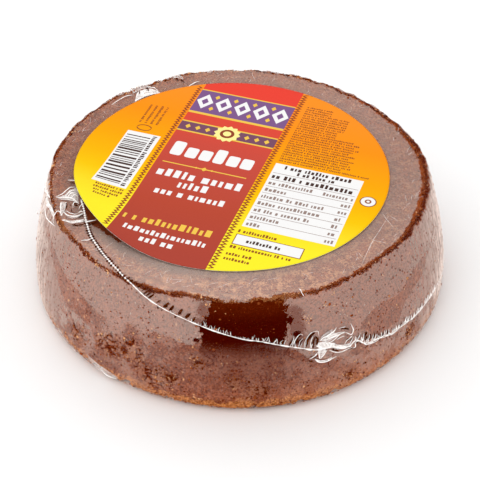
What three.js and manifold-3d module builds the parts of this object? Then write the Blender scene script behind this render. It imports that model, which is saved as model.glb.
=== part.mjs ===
// A cast disc of unrefined cane sugar, shrink-wrapped in clear film, with a round paper label.
// Units are millimetres, +Z is up, and the origin is at the middle of the flat base.
import * as THREE from 'three';
import { mergeVertices } from 'three/addons/utils/BufferGeometryUtils.js';
import Module from 'manifold-3d';

// The wrapped disc: a wall that swells downwards from the rim, over a rounded lower edge.
const discHeight = 34.15;
const rimRadius = 52.5;
const widestRadius = 58.6;
const widestHeight = 3.5;
const baseRadius = 54;
const lowerEdgePower = 2.4;
const lowerEdgeSteps = 6;
const wallSteps = 6;
const discSegments = 96;

// The top face is cast slightly hollow, inside a crumbly raised rim.
const rimWidth = 3;
const rimRise = 0.6;
const rimDrop = 0.5;
const topFaceRings = 3;

// The casting isn't quite round: each entry is a wave of the outline, in waves a turn,
// its height at the rim and at the base, and the turn where it peaks.
const outlineWaves = [
  { count: 2, atRim: 0.27, atBase: 0.29, peak: 175 },
  { count: 3, atRim: 0.21, atBase: 0.2, peak: 30 },
  { count: 4, atRim: 0.29, atBase: 0.16, peak: 20 },
  { count: 5, atRim: 0.18, atBase: 0.14, peak: -9 },
];
const baseShift = 0.4;

// The welded seam of the film runs over the top at the front left, then down round the wall.
const seamRadius = 0.45;
const seamSides = 6;
const seamStepLength = 3.5;
const seamTopStart = new THREE.Vector2(-44.5, -14);
const seamTopBend = new THREE.Vector2(-40, -30);
const seamTopEnd = new THREE.Vector2(-31.5, -42);
const seamTopSteps = 6;
const seamLeavesRim = -36;
const seamLowestTurn = 125;
const seamFallTurn = 95;
const seamTurnStep = 5;

// Gathered tufts of film stand where the seam's corners were pulled in.
// One is on the wall at a height, and the others lie on the top face, set in from the rim.
const tufts = [
  { turn: 23, height: 19.6, inset: 0, length: 13, width: 7.5, rise: 3, lean: 12, folds: 7 },
  { turn: -75, height: 0, inset: 5, length: 11, width: 7, rise: 2.2, lean: 30, folds: 6 },
  { turn: -142, height: 0, inset: 2, length: 11, width: 6, rise: 1.8, lean: 4, folds: 6 },
];
const tuftRings = 8;
const tuftSegments = 28;
const tuftFoldDepth = 0.16;
const tuftTaper = 0.3;
const wallLeanOut = 0.2;

// The label is a round of stiff paper, stuck on top and curled up over the left tuft.
const labelRadius = 43.6;
const labelCentre = new THREE.Vector2(-1.9, 1.3);
const labelThickness = 0.3;
const labelGap = 0.3;
const labelRings = 8;
const labelSegments = 72;
const curlRise = 2.8;
const curlTurn = 206;
const curlSpread = 26;
const curlStart = 0.66;

const wasm = await Module();
wasm.setup();

const degrees = THREE.MathUtils.degToRad;

// Azimuth 0 faces -Y, and turns towards +X.
function aroundDisc(turn, radius, height) {
  const angle = degrees(turn);
  return new THREE.Vector3(radius * Math.sin(angle), -radius * Math.cos(angle), height);
}

function topFaceHeight() {
  return discHeight - rimDrop;
}

// Radius of the plain wall at a height: a quarter sine wave, then the superellipse lower edge.
function wallRadius(height) {
  if (height >= widestHeight) {
    const share = Math.min((discHeight - height) / (discHeight - widestHeight), 1);
    return rimRadius + (widestRadius - rimRadius) * Math.sin((share * Math.PI) / 2);
  }
  const down = 1 - height / widestHeight;
  const out = (1 - down ** lowerEdgePower) ** (1 / lowerEdgePower);
  return baseRadius + (widestRadius - baseRadius) * out;
}

// How far the real outline stands off the round one.
function outlineOffset(angle, height) {
  const share = THREE.MathUtils.clamp(height / discHeight, 0, 1);
  let offset = 0;
  for (const wave of outlineWaves) {
    const rise = THREE.MathUtils.lerp(wave.atBase, wave.atRim, share);
    offset += rise * Math.cos(wave.count * angle - degrees(wave.peak));
  }
  return offset;
}

// Half outline of the disc, from the middle of the base to the middle of the top.
function discProfile() {
  const points = [new THREE.Vector2(0, 0)];
  for (let step = 0; step <= lowerEdgeSteps; step += 1) {
    const swing = (step / lowerEdgeSteps) * Math.PI / 2;
    const height = widestHeight * (1 - Math.cos(swing) ** (2 / lowerEdgePower));
    points.push(new THREE.Vector2(wallRadius(height), height));
  }
  const wallTop = discHeight - rimRise;
  for (let step = 1; step <= wallSteps; step += 1) {
    const height = THREE.MathUtils.lerp(widestHeight, wallTop, step / wallSteps);
    points.push(new THREE.Vector2(wallRadius(height), height));
  }
  points.push(new THREE.Vector2(rimRadius - rimWidth * 0.2, discHeight));
  points.push(new THREE.Vector2(rimRadius - rimWidth * 0.5, discHeight));
  points.push(new THREE.Vector2(rimRadius - rimWidth, topFaceHeight()));
  for (let ring = topFaceRings - 1; ring >= 0; ring -= 1) {
    const radius = (rimRadius - rimWidth) * (ring / topFaceRings);
    points.push(new THREE.Vector2(radius, topFaceHeight()));
  }
  return points;
}

// Moves a point of the round disc to the real outline, more the further it lies from the axis.
function toRealOutline(point) {
  const radius = Math.hypot(point.x, point.y);
  if (radius === 0) {
    return point;
  }
  const reach = Math.min(radius / rimRadius, 1) ** 2;
  const scale = 1 + (reach * outlineOffset(Math.atan2(point.y, point.x), point.z)) / radius;
  const shift = baseShift * (1 - point.z / discHeight);
  return point.set(point.x * scale + shift, point.y * scale, point.z);
}

// Applies a move of one point to every point of a geometry.
function movePoints(geometry, move) {
  const place = geometry.attributes.position;
  const point = new THREE.Vector3();
  for (let index = 0; index < place.count; index += 1) {
    move(point.fromBufferAttribute(place, index));
    place.setXYZ(index, point.x, point.y, point.z);
  }
  return geometry;
}

function discGeometry() {
  const geometry = new THREE.LatheGeometry(discProfile(), discSegments);
  geometry.rotateX(Math.PI / 2);
  return movePoints(geometry, toRealOutline);
}

// A point of the real wall, at a turn about the axis and a height.
function wallPoint(turn, height) {
  return toRealOutline(aroundDisc(turn, wallRadius(height), height));
}

// Height of the seam on the wall: a fall that dies away, mirrored about its lowest turn.
function seamHeight(turn) {
  const folded = seamLowestTurn - Math.abs(turn - seamLowestTurn);
  return discHeight * Math.exp(-(folded - seamLeavesRim) / seamFallTurn);
}

function seamPath() {
  const points = [];
  const topRun = new THREE.QuadraticBezierCurve(seamTopStart, seamTopBend, seamTopEnd);
  for (const place of topRun.getPoints(seamTopSteps)) {
    points.push(new THREE.Vector3(place.x, place.y, discHeight - rimDrop / 2));
  }
  const lastTurn = 2 * seamLowestTurn - seamLeavesRim;
  for (let turn = seamLeavesRim + seamTurnStep; turn < lastTurn; turn += seamTurnStep) {
    points.push(wallPoint(turn, seamHeight(turn)));
  }
  return new THREE.CatmullRomCurve3(points);
}

function seamGeometry() {
  const path = seamPath();
  const section = new THREE.Shape();
  for (let side = 0; side < seamSides; side += 1) {
    const angle = (side / seamSides) * 2 * Math.PI;
    const x = seamRadius * Math.cos(angle);
    const y = seamRadius * Math.sin(angle);
    if (side === 0) {
      section.moveTo(x, y);
    } else {
      section.lineTo(x, y);
    }
  }
  const steps = Math.round(path.getLength() / seamStepLength);
  return new THREE.ExtrudeGeometry(section, { steps, bevelEnabled: false, extrudePath: path });
}

// A tuft is a low bun, pleated round its outline, set half into the film.
function tuftGeometry(tuft) {
  const geometry = new THREE.SphereGeometry(1, tuftSegments, tuftRings);
  geometry.rotateX(Math.PI / 2);
  movePoints(geometry, (point) => {
    const angle = Math.atan2(point.y, point.x);
    const pleat = 1 + tuftFoldDepth * Math.cos(tuft.folds * angle + Math.sin(2 * angle));
    const taper = 1 - tuftTaper * point.x;
    point.set(point.x * pleat, point.y * pleat * taper, point.z * pleat);
  });
  geometry.scale(tuft.length / 2, tuft.width / 2, tuft.rise);
  return geometry;
}

// Lays a tuft on the top face or on the wall, with its long side turned by its lean.
function placedTuft(tuft) {
  const geometry = tuftGeometry(tuft);
  const onTop = tuft.inset > 0;
  const centre = onTop
    ? aroundDisc(tuft.turn, rimRadius - tuft.inset, topFaceHeight())
    : wallPoint(tuft.turn, tuft.height);
  const out = onTop
    ? new THREE.Vector3(0, 0, 1)
    : aroundDisc(tuft.turn, 1, wallLeanOut).normalize();
  const along = aroundDisc(tuft.turn + 90, 1, 0).applyAxisAngle(out, degrees(tuft.lean));
  const across = new THREE.Vector3().crossVectors(out, along).normalize();
  along.crossVectors(across, out);
  geometry.applyMatrix4(new THREE.Matrix4().makeBasis(along, across, out).setPosition(centre));
  return geometry;
}

// A closed geometry as a manifold solid, with its shared corners merged.
function toSolid(geometry) {
  const bare = new THREE.BufferGeometry();
  bare.setAttribute('position', geometry.attributes.position.clone());
  if (geometry.index) {
    bare.setIndex(geometry.index.clone());
  }
  const merged = mergeVertices(bare, 1e-4);
  const corners = merged.index.array;
  const kept = [];
  for (let first = 0; first < corners.length; first += 3) {
    const [a, b, c] = [corners[first], corners[first + 1], corners[first + 2]];
    if (a !== b && b !== c && c !== a) {
      kept.push(a, b, c);
    }
  }
  return new wasm.Manifold(new wasm.Mesh({
    numProp: 3,
    vertProperties: new Float32Array(merged.attributes.position.array),
    triVerts: new Uint32Array(kept),
  }));
}

function toGeometry(solid) {
  const mesh = solid.getMesh();
  const geometry = new THREE.BufferGeometry();
  geometry.setAttribute('position', new THREE.BufferAttribute(mesh.vertProperties, 3));
  geometry.setIndex(new THREE.BufferAttribute(mesh.triVerts, 1));
  geometry.computeVertexNormals();
  return geometry;
}

// Lift of the label's curled edge, at a share of its radius and an angle about its centre.
function curlLift(share, angle) {
  const turned = THREE.MathUtils.radToDeg(angle) - curlTurn;
  const off = THREE.MathUtils.euclideanModulo(turned + 180, 360) - 180;
  const spread = Math.exp(-((off / curlSpread) ** 2));
  const climb = Math.max(0, (share - curlStart) / (1 - curlStart));
  return curlRise * spread * climb ** 2;
}

function labelGeometry() {
  const under = topFaceHeight() + labelGap;
  const points = [new THREE.Vector2(0, under)];
  for (let ring = 1; ring <= labelRings; ring += 1) {
    points.push(new THREE.Vector2(labelRadius * (ring / labelRings), under));
  }
  for (let ring = labelRings; ring >= 0; ring -= 1) {
    points.push(new THREE.Vector2(labelRadius * (ring / labelRings), under + labelThickness));
  }
  const geometry = new THREE.LatheGeometry(points, labelSegments);
  geometry.rotateX(Math.PI / 2);
  movePoints(geometry, (point) => {
    const share = Math.hypot(point.x, point.y) / labelRadius;
    point.z += curlLift(share, Math.atan2(point.y, point.x));
  });
  geometry.translate(labelCentre.x, labelCentre.y, 0);
  return geometry;
}

function wrappedDiscMesh() {
  let solid = toSolid(discGeometry()).add(toSolid(seamGeometry()));
  for (const tuft of tufts) {
    solid = solid.add(toSolid(placedTuft(tuft)));
  }
  const material = new THREE.MeshStandardMaterial({ color: 0x8a5442, roughness: 0.35, metalness: 0 });
  const mesh = new THREE.Mesh(toGeometry(solid), material);
  mesh.name = 'wrapped_sugar_disc';
  return mesh;
}

function labelMesh() {
  const material = new THREE.MeshStandardMaterial({ color: 0xf6a02a, roughness: 0.6, metalness: 0 });
  const mesh = new THREE.Mesh(labelGeometry(), material);
  mesh.name = 'label';
  return mesh;
}

const disc = new THREE.Group();
disc.add(wrappedDiscMesh());
disc.add(labelMesh());

export default disc;
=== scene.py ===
import math

import bpy
import numpy as np
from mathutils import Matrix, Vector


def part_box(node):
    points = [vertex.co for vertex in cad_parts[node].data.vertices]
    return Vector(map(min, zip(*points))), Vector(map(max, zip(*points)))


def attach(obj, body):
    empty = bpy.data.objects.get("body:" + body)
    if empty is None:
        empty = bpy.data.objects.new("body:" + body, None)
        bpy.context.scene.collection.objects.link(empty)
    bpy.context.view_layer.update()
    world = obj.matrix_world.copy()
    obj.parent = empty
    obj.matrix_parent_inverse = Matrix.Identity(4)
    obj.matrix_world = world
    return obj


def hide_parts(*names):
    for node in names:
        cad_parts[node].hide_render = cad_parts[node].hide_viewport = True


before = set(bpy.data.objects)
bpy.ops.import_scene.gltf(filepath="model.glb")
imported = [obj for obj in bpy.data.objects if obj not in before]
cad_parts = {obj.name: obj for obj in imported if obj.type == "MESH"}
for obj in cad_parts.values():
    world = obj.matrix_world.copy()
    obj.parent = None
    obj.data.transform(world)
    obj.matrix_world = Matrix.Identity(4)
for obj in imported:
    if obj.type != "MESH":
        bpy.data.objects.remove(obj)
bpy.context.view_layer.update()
labelLow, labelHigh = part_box("label")
mm = 0.001

# The wrapped disc's form, as it was cast. Turn 0 faces -Y and turns towards +X, in degrees.
disc = {
    "height": 34.15 * mm,
    "rimRadius": 52.5 * mm,
    "widestRadius": 58.6 * mm,
    "widestHeight": 3.5 * mm,
    "baseRadius": 54.0 * mm,
    "lowerEdgePower": 2.4,
    "rimWidth": 3.0 * mm,
    "rimRise": 0.6 * mm,
    "rimDrop": 0.5 * mm,
    "crestShare": 0.22,  # where the rim's crest lies, as a share of its width
    "baseShift": 0.4 * mm,
    # waves a turn, height at the rim and at the base in mm, and the angle where it peaks
    "waves": [(2, 0.27, 0.29, 175), (3, 0.21, 0.2, 30), (4, 0.29, 0.16, 20), (5, 0.18, 0.14, -9)],
    "middleRadius": 41.0 * mm,  # inside this the label hides the top face
}


# Random value from 0 to 1 of each lattice corner: its three whole numbers and a seed, stirred together.
def cornerValue(corner, seed):
    stirred = corner[..., 0] * 73856093 ^ corner[..., 1] * 19349663 ^ corner[..., 2] * 83492791
    stirred = (stirred ^ (seed * 2654435761)) & 0xFFFFFFFF
    stirred = ((stirred ^ (stirred >> 15)) * 2246822519) & 0xFFFFFFFF
    stirred = ((stirred ^ (stirred >> 13)) * 3266489917) & 0xFFFFFFFF
    return (stirred ^ (stirred >> 16)) / 4294967296.0


# Smooth noise from -1 to 1: the eight corner values round a place, blended by an S-curve.
def smoothNoise(place, cell, seed):
    lattice = place / cell
    low = np.floor(lattice).astype(np.int64)
    part = lattice - low
    part = part * part * (3 - 2 * part)
    total = np.zeros(place.shape[:-1])
    for corner in np.ndindex(2, 2, 2):
        share = np.prod(np.where(corner, part, 1 - part), axis=-1)
        total += share * cornerValue(low + np.array(corner), seed)
    return total * 2 - 1


# Layers of smooth noise, each half as large and half as high as the one before.
def layeredNoise(place, cell, layers, seed):
    total = np.zeros(place.shape[:-1])
    for layer in range(layers):
        total += smoothNoise(place, cell / 2**layer, seed + layer) / 2**layer
    return total / (2 - 0.5 ** (layers - 1))


# Layered noise at a listed setting: its size in mm, how high it rises, its layers and its seed.
def uneven(place, setting):
    size, rise, layers, seed = setting
    return rise * layeredNoise(place, size * mm, layers, seed)


# S-curve from 0 at low to 1 at high.
def ease(value, low, high):
    share = np.clip((value - low) / (high - low), 0, 1)
    return share * share * (3 - 2 * share)


# A soft round hump: 1 at its centre, falling off with the square of the distance.
def hump(value, centre, reach):
    return np.exp(-(((value - centre) / reach) ** 2))


# Value at each turn, on a line through the listed (turn, value) pairs that closes round the disc.
def roundDisc(turn, pairs):
    return np.interp(turn, *np.array(pairs, float).T, period=360)


# Radius of the plain wall: a quarter sine down from the rim, then a superellipse under the widest line.
def wallRadius(height):
    share = np.clip((disc["height"] - height) / (disc["height"] - disc["widestHeight"]), 0, 1)
    upper = disc["rimRadius"] + (disc["widestRadius"] - disc["rimRadius"]) * np.sin(share * math.pi / 2)
    down = np.clip(1 - height / disc["widestHeight"], 0, 1)
    out = (1 - down ** disc["lowerEdgePower"]) ** (1 / disc["lowerEdgePower"])
    lower = disc["baseRadius"] + (disc["widestRadius"] - disc["baseRadius"]) * out
    return np.where(height >= disc["widestHeight"], upper, lower)


# Height of the rim and the top face at a radius: up over a crest, then an S-curve down to the face.
def topHeight(radius):
    share = (disc["rimRadius"] - radius) / disc["rimWidth"]
    climb = 1 - np.clip(share / disc["crestShare"], 0, 1)
    return disc["height"] - disc["rimRise"] * climb**2 - disc["rimDrop"] * ease(share, 0.4, 1)


# Half outline from the middle of the base to the middle of the top, without its two end points.
# The rows are shared out over the base, lower edge, wall, rim, annulus and middle of the top.
def discProfile(baseRows, edgeRows, wallRows, rimRows, annulusRows, middleRows):
    swing = np.arange(edgeRows) / edgeRows * math.pi / 2
    edgeHeight = disc["widestHeight"] * (1 - np.cos(swing) ** (2 / disc["lowerEdgePower"]))
    wallTop = disc["height"] - disc["rimRise"]
    wallHeight = np.linspace(disc["widestHeight"], wallTop, wallRows, endpoint=False)
    faceRadius = disc["rimRadius"] - disc["rimWidth"]
    rim = np.linspace(disc["rimRadius"], faceRadius, rimRows, endpoint=False)
    annulus = np.linspace(faceRadius, disc["middleRadius"], annulusRows, endpoint=False)
    middle = np.linspace(disc["middleRadius"], 0, middleRows, endpoint=False)
    base = np.linspace(0, disc["baseRadius"], baseRows, endpoint=False)[1:]
    top = np.concatenate([rim, annulus, middle])
    radius = np.concatenate([base, wallRadius(edgeHeight), wallRadius(wallHeight), top])
    height = np.concatenate([base * 0, edgeHeight, wallHeight, topHeight(top)])
    return radius, height


# Values brought to one shape and set side by side in a new last direction, as coordinates are in places.
def joined(*parts):
    return np.stack(np.broadcast_arrays(*parts), axis=-1)


# Evenly spaced angles once round.
def onceRound(count):
    return np.arange(count) * math.tau / count


# Moves places of the round disc to the real outline: radial waves, and a small shift of the base.
def realOutline(place):
    radius = np.hypot(place[..., 0], place[..., 1])
    angle = np.arctan2(place[..., 1], place[..., 0])
    share = np.clip(place[..., 2] / disc["height"], 0, 1)
    offset = 0
    for count, atRim, atBase, peak in disc["waves"]:
        rise = (atBase + (atRim - atBase) * share) * mm
        offset = offset + rise * np.cos(count * angle - math.radians(peak))
    scale = 1 + np.clip(radius / disc["rimRadius"], 0, 1) ** 2 * offset / np.maximum(radius, mm)
    shift = disc["baseShift"] * (1 - place[..., 2] / disc["height"])
    return joined(place[..., 0] * scale + shift, place[..., 1] * scale, place[..., 2])


# A place from its turn about the axis, radius and height.
def around(turn, radius, height):
    angle = np.radians(turn)
    return joined(radius * np.sin(angle), -radius * np.cos(angle), height)


# A place on the real wall at a turn and a height, moved out by a distance.
def onWall(turn, height, out):
    return realOutline(around(turn, wallRadius(height) + out, height))


# Unit vectors of an array of vectors.
def unit(vector):
    return vector / np.maximum(np.linalg.norm(vector, axis=-1, keepdims=True), 1e-12)


# Normals of a grid that closes round its columns: the direction along the columns crossed with that up
# the rows.
def gridNormals(grid):
    alongColumns = np.roll(grid, -1, axis=1) - np.roll(grid, 1, axis=1)
    return unit(np.cross(alongColumns, np.gradient(grid, axis=0)))


# The disc's surface as a grid of places, with each place's turn, radius and height before the waves.
def discGrid(columns, *rowCounts):
    profileRadius, profileHeight = discProfile(*rowCounts)
    turn, radius = np.meshgrid(np.arange(columns) * 360 / columns - 180, profileRadius)
    height = np.meshgrid(turn[0], profileHeight)[1]
    return realOutline(around(turn, radius, height)), turn, radius, height


# Four-cornered faces between the rows and columns of a grid that closes round its columns.
def gridFaces(rows, columns):
    index = np.arange(rows * columns).reshape(rows, columns)
    index = np.concatenate([index, index[:, :1]], axis=1)
    corners = [index[:-1, :-1], index[:-1, 1:], index[1:, 1:], index[1:, :-1]]
    return np.stack(corners, axis=-1).reshape(-1, 4)


# A mesh object from places and lists of faces, each list with one number of corners.
def makeMesh(name, places, faceLists, smooth=True):
    mesh = bpy.data.meshes.new(name)
    places = places.reshape(-1, 3)
    mesh.vertices.add(len(places))
    mesh.vertices.foreach_set("co", places.astype(np.float32).ravel())
    sizes = np.concatenate([np.full(len(faces), faces.shape[1]) for faces in faceLists])
    corners = np.concatenate([faces.ravel() for faces in faceLists])
    mesh.loops.add(len(corners))
    mesh.loops.foreach_set("vertex_index", corners.astype(np.int32))
    mesh.polygons.add(len(sizes))
    mesh.polygons.foreach_set("loop_start", (np.cumsum(sizes) - sizes).astype(np.int32))
    mesh.polygons.foreach_set("use_smooth", np.full(len(sizes), smooth))
    mesh.update(calc_edges=True)
    mesh.validate()
    made = bpy.data.objects.new(name, mesh)
    bpy.context.scene.collection.objects.link(made)
    return made


# Places and faces of many closed shapes: each a grid that closes round its columns, with a point at both
# ends. grids are count x rows x columns x 3, and the points count x 3.
def closedShapes(grids, firstPoints, lastPoints):
    count, rows, columns = grids.shape[:3]
    flat = grids.reshape(count, -1, 3)
    places = np.concatenate([firstPoints[:, None], flat, lastPoints[:, None]], axis=1)
    ring = 1 + np.arange(columns)
    after = np.roll(ring, -1)
    last = 1 + rows * columns
    lastRow = (rows - 1) * columns
    firstFan = joined(0, after, ring)
    lastFan = joined(last, ring + lastRow, after + lastRow)
    start = (np.arange(count) * (last + 1))[:, None, None]
    quads = (gridFaces(rows, columns)[None] + 1 + start).reshape(-1, 4)
    fans = (np.concatenate([firstFan, lastFan])[None] + start).reshape(-1, 3)
    return places.reshape(-1, 3), quads, fans


# One mesh of closed shapes from several sets, each its grids, first points and last points.
def makeMany(name, sets, smooth=True):
    places, quads, fans = zip(*[closedShapes(*part) for part in sets])
    start = np.cumsum([0] + [len(part) for part in places])
    quads = np.concatenate([faces + first for faces, first in zip(quads, start)])
    fans = np.concatenate([faces + first for faces, first in zip(fans, start)])
    return makeMesh(name, np.concatenate(places), [quads, fans], smooth)


# One closed piece from a grid and its two end points.
def makeClosed(name, grid, firstPoint, lastPoint):
    return makeMany(name, [(grid[None], np.array([firstPoint]), np.array([lastPoint]))])


# A smooth line through points: at each step a Catmull-Rom blend of the four points round it.
def smoothLine(points, steps):
    points = np.array(points, float)
    padded = np.concatenate([2 * points[:1] - points[1:2], points, 2 * points[-1:] - points[-2:-1]])
    at = np.linspace(0, len(points) - 1, steps)
    low = np.minimum(at.astype(int), len(points) - 2)
    part = (at - low)[:, None]
    before, start, end, after = (padded[low + shift] for shift in range(4))
    bend = 2 * before - 5 * start + 4 * end - after
    twist = 3 * start - before - 3 * end + after
    return 0.5 * (2 * start + (end - before) * part + bend * part**2 + twist * part**3)


# Tapered closed ridges along many lines: a flattened ring about each line, with a point at both ends.
# lines are count x steps x 3, out their outward directions, width and rise count x steps.
def ridges(lines, out, width, rise, sides):
    along = unit(np.gradient(lines, axis=1))
    across = unit(np.cross(along, out))
    upward = np.cross(across, along)
    angle = -onceRound(sides)
    ring = across[:, :, None] * np.cos(angle)[:, None] * width[..., None, None]
    ring = ring + upward[:, :, None] * np.sin(angle)[:, None] * rise[..., None, None]
    return lines[:, 1:-1, None] + ring[:, 1:-1], lines[:, 0], lines[:, -1]


# Ridges along smooth lines that arch off a surface. strings are (arch, half width, points), in mm, and
# toPlace gives a place from two directions on the surface and a height over it.
def strings(listed, toPlace, steps=15, flatness=1.0, foot=0.1, wobble=0.12):
    arch = np.array([string[0] for string in listed])[:, None]
    width = np.array([string[1] for string in listed])[:, None]
    flat = np.stack([smoothLine(string[2], steps) for string in listed])
    share = np.linspace(0, 1, steps)
    lift = foot + arch * np.sin(math.pi * share)
    line = np.concatenate([flat, lift[..., None]], axis=-1)
    sway = joined(*(smoothNoise(line, 0.9, seed) for seed in (93, 94, 95)))
    line = line + wobble * sway * np.array([1, 1, 0.4])
    places = toPlace(line)
    out = unit(toPlace(line + np.array([0, 0, 1.0])) - places)
    taper = np.sin(math.pi * np.clip(share, 0.04, 0.96)) ** 0.6
    width = width * mm * taper * (1 + 0.4 * smoothNoise(line, 0.7, 96))
    return ridges(places, out, width, width * flatness, 8)


# Closed slabs between left and right edge lines (count x steps x 2): a top and a bottom, cells across.
# lift is how far the top stands out at each step and cell, and depth how much lower the bottom lies.
def slabs(left, right, cells, toPlace, lift, depth):
    share = np.linspace(0, 1, cells + 1)[:, None]
    across = left[:, :, None] * (1 - share) + right[:, :, None] * share
    lift = np.broadcast_to(lift, across.shape[:-1])[..., None]
    top = toPlace(np.concatenate([across, lift], axis=-1))
    bottom = toPlace(np.concatenate([across, lift - depth], axis=-1))
    grids = np.concatenate([top, bottom[:, :, ::-1]], axis=2)
    return grids, grids[:, 0].mean(axis=1), grids[:, -1].mean(axis=1)


# Small closed lumps: flattened uneven balls at places on a surface, each with its own three sizes.
def lumps(places, out, along, sizes, seed, rows=5, columns=8):
    across = unit(np.cross(along, out))
    along = np.cross(out, across)
    lift = (np.linspace(-1, 1, rows + 2)[1:-1] * math.pi / 2)[:, None]
    angle = onceRound(columns)
    ball = [np.cos(lift) * np.cos(angle), np.cos(lift) * np.sin(angle), np.sin(lift) + angle * 0]
    axes = np.stack([along, across, out], axis=1) * sizes[..., None] * np.array([1, -1, 1])[:, None]
    grids = np.einsum("krc,nkx->nrcx", np.stack(ball), axes)
    grids = grids * (1 + 0.3 * smoothNoise(grids + places[:, None, None], 0.25 * mm, seed))[..., None]
    grids = grids + places[:, None, None]
    return grids, places - axes[:, 2], places + axes[:, 2]


# Stores named values at each place of a piece, for its material. Where they are those of a closed piece's
# grid, its end points take the nearest ones.
def storeValues(made, **values):
    for name, value in values.items():
        flat = value.astype(np.float32).ravel()
        if len(flat) < len(made.data.vertices):
            flat = np.pad(flat, 1, "edge")
        made.data.attributes.new(name, "FLOAT", "POINT").data.foreach_set("value", flat)


# Stores the place on the wrapped form that each place of a closed piece was worked out from.
def storePlace(made, grid):
    flat = np.pad(grid.reshape(-1, 3).astype(np.float32), ((1, 1), (0, 0)), "edge")
    made.data.attributes.new("castPlace", "FLOAT_VECTOR", "POINT").data.foreach_set("vector", flat.ravel())


# Gives a piece its material and its body, hides the model's parts that it stands in for, and prints its
# name and faces.
def finishPiece(made, material, slot, *nodes):
    made.data.materials.append(material)
    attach(made, "root")
    if nodes:
        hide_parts(*nodes)
    print("piece:", made.name, len(made.data.polygons), "faces")


# Linear colour from the usual 0 to 255 values.
def tint(red, green, blue):
    share = np.array([red, green, blue]) / 255
    linear = np.where(share < 0.04045, share / 12.92, ((share + 0.055) / 1.055) ** 2.4)
    return (*linear.tolist(), 1.0)


# Adds a shader node: settings are its own properties, and inputs are values or other nodes' outputs.
def addNode(tree, kind, inputs=(), **settings):
    made = tree.nodes.new("ShaderNode" + kind)
    for name, value in settings.items():
        setattr(made, name, value)
    for name, value in dict(inputs).items():
        if isinstance(value, bpy.types.NodeSocket):
            tree.links.new(value, made.inputs[name])
        else:
            made.inputs[name].default_value = value
    return made


# One step of arithmetic on two values.
def reckon(tree, operation, first, second, third=0.0):
    inputs = {0: first, 1: second, 2: third}
    return addNode(tree, "Math", inputs, operation=operation).outputs[0]


# A value times a factor, plus a base.
def scaled(tree, value, factor, base=0.0):
    return reckon(tree, "MULTIPLY_ADD", value, factor, base)


# One step of arithmetic on two vectors.
def vectorStep(tree, operation, first, second):
    return addNode(tree, "VectorMath", {0: first, 1: second}, operation=operation).outputs[0]


# S-curve of a value from 0 at low to 1 at high.
def easeNode(tree, value, low, high):
    inputs = {"Value": value, "From Min": low, "From Max": high}
    return addNode(tree, "MapRange", inputs, interpolation_type="SMOOTHSTEP").outputs[0]


# S-curve of a value whose edge is made ragged by an amount of noise.
def raggedEdge(tree, noise, amount, value, low, high):
    return easeNode(tree, scaled(tree, noise, amount, value), low, high)


# A noise from 0 to 1, moved to lie about 0.
def aboutZero(tree, noise):
    return reckon(tree, "SUBTRACT", noise, 0.5)


# The greatest of several values.
def greatest(tree, first, *others):
    for value in others:
        first = reckon(tree, "MAXIMUM", first, value)
    return first


# Mixes two colours by a share.
def mixColours(tree, share, first, second, way="MIX"):
    made = addNode(tree, "Mix", {0: share, 6: first, 7: second}, data_type="RGBA", blend_type=way)
    return made.outputs[2]


# The first of two colours where a value is under low, the second where it is over high.
def twoColours(tree, value, low, high, pair):
    return mixColours(tree, easeNode(tree, value, low, high), *pair)


# A colour with others laid over it in turn, each listed as (share, colour).
def overlaid(tree, colour, listed):
    for share, over in listed:
        colour = mixColours(tree, share, colour, over)
    return colour


# A stored value of the piece, by name.
def stored(tree, name):
    return addNode(tree, "Attribute", attribute_name=name).outputs["Fac"]


# Noise over the piece's own places, from 0 to 1.
def noiseOf(tree, place, size, detail=2.0, roughness=0.5):
    inputs = {"Vector": place, "Scale": 1 / size, "Detail": detail, "Roughness": roughness}
    return addNode(tree, "TexNoise", inputs).outputs[0]


# A node group with named inputs and outputs, each with its kind of socket and starting value.
def newGroup(name, inputs, outputs):
    group = bpy.data.node_groups.new(name, "ShaderNodeTree")
    for label, kind, value in inputs:
        socket = group.interface.new_socket(label, in_out="INPUT", socket_type="NodeSocket" + kind)
        if value is not None:
            socket.default_value = value
    for label in outputs:
        group.interface.new_socket(label, in_out="OUTPUT", socket_type="NodeSocketFloat")
    return group, group.nodes.new("NodeGroupInput"), group.nodes.new("NodeGroupOutput")


# Places a node group in a material with its own values, and gives its outputs.
def placeGroup(tree, group, inputs):
    return addNode(tree, "Group", inputs, node_tree=group).outputs


# Specks: uneven spots about random points, each cell's own chance deciding whether it has one.
def speckGroup():
    inputs = [("Place", "Vector", None), ("Spacing", "Float", 0.002), ("Size", "Float", 0.3)]
    group, given, result = newGroup("specks", inputs + [("Chance", "Float", 0.5)], ["Specks"])
    place, spacing = given.outputs["Place"], given.outputs["Spacing"]
    perMetre = reckon(group, "DIVIDE", 1.0, spacing)
    noise = addNode(group, "TexNoise", {"Vector": place, "Scale": scaled(group, perMetre, 2.2)})
    push = vectorStep(group, "SUBTRACT", noise.outputs["Color"], (0.5, 0.5, 0.5))
    inputs = {0: push, "Scale": scaled(group, spacing, 0.9)}
    push = addNode(group, "VectorMath", inputs, operation="SCALE").outputs[0]
    inputs = {"Vector": vectorStep(group, "ADD", place, push), "Scale": perMetre}
    cells = addNode(group, "TexVoronoi", inputs)
    own = addNode(group, "SeparateColor", {0: cells.outputs["Color"]})
    size = scaled(group, given.outputs["Size"], reckon(group, "ADD", own.outputs[1], 0.5))
    spot = easeNode(group, reckon(group, "DIVIDE", cells.outputs["Distance"], size), 1.0, 0.6)
    taken = reckon(group, "LESS_THAN", own.outputs[0], given.outputs["Chance"])
    group.links.new(scaled(group, spot, taken), result.inputs["Specks"])
    return group


# Specks over a piece's own places, in metres and shares.
def speckled(tree, place, spacing, size, chance):
    inputs = {"Place": place, "Spacing": spacing, "Size": size, "Chance": chance}
    return placeGroup(tree, specks, inputs)[0]


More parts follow.
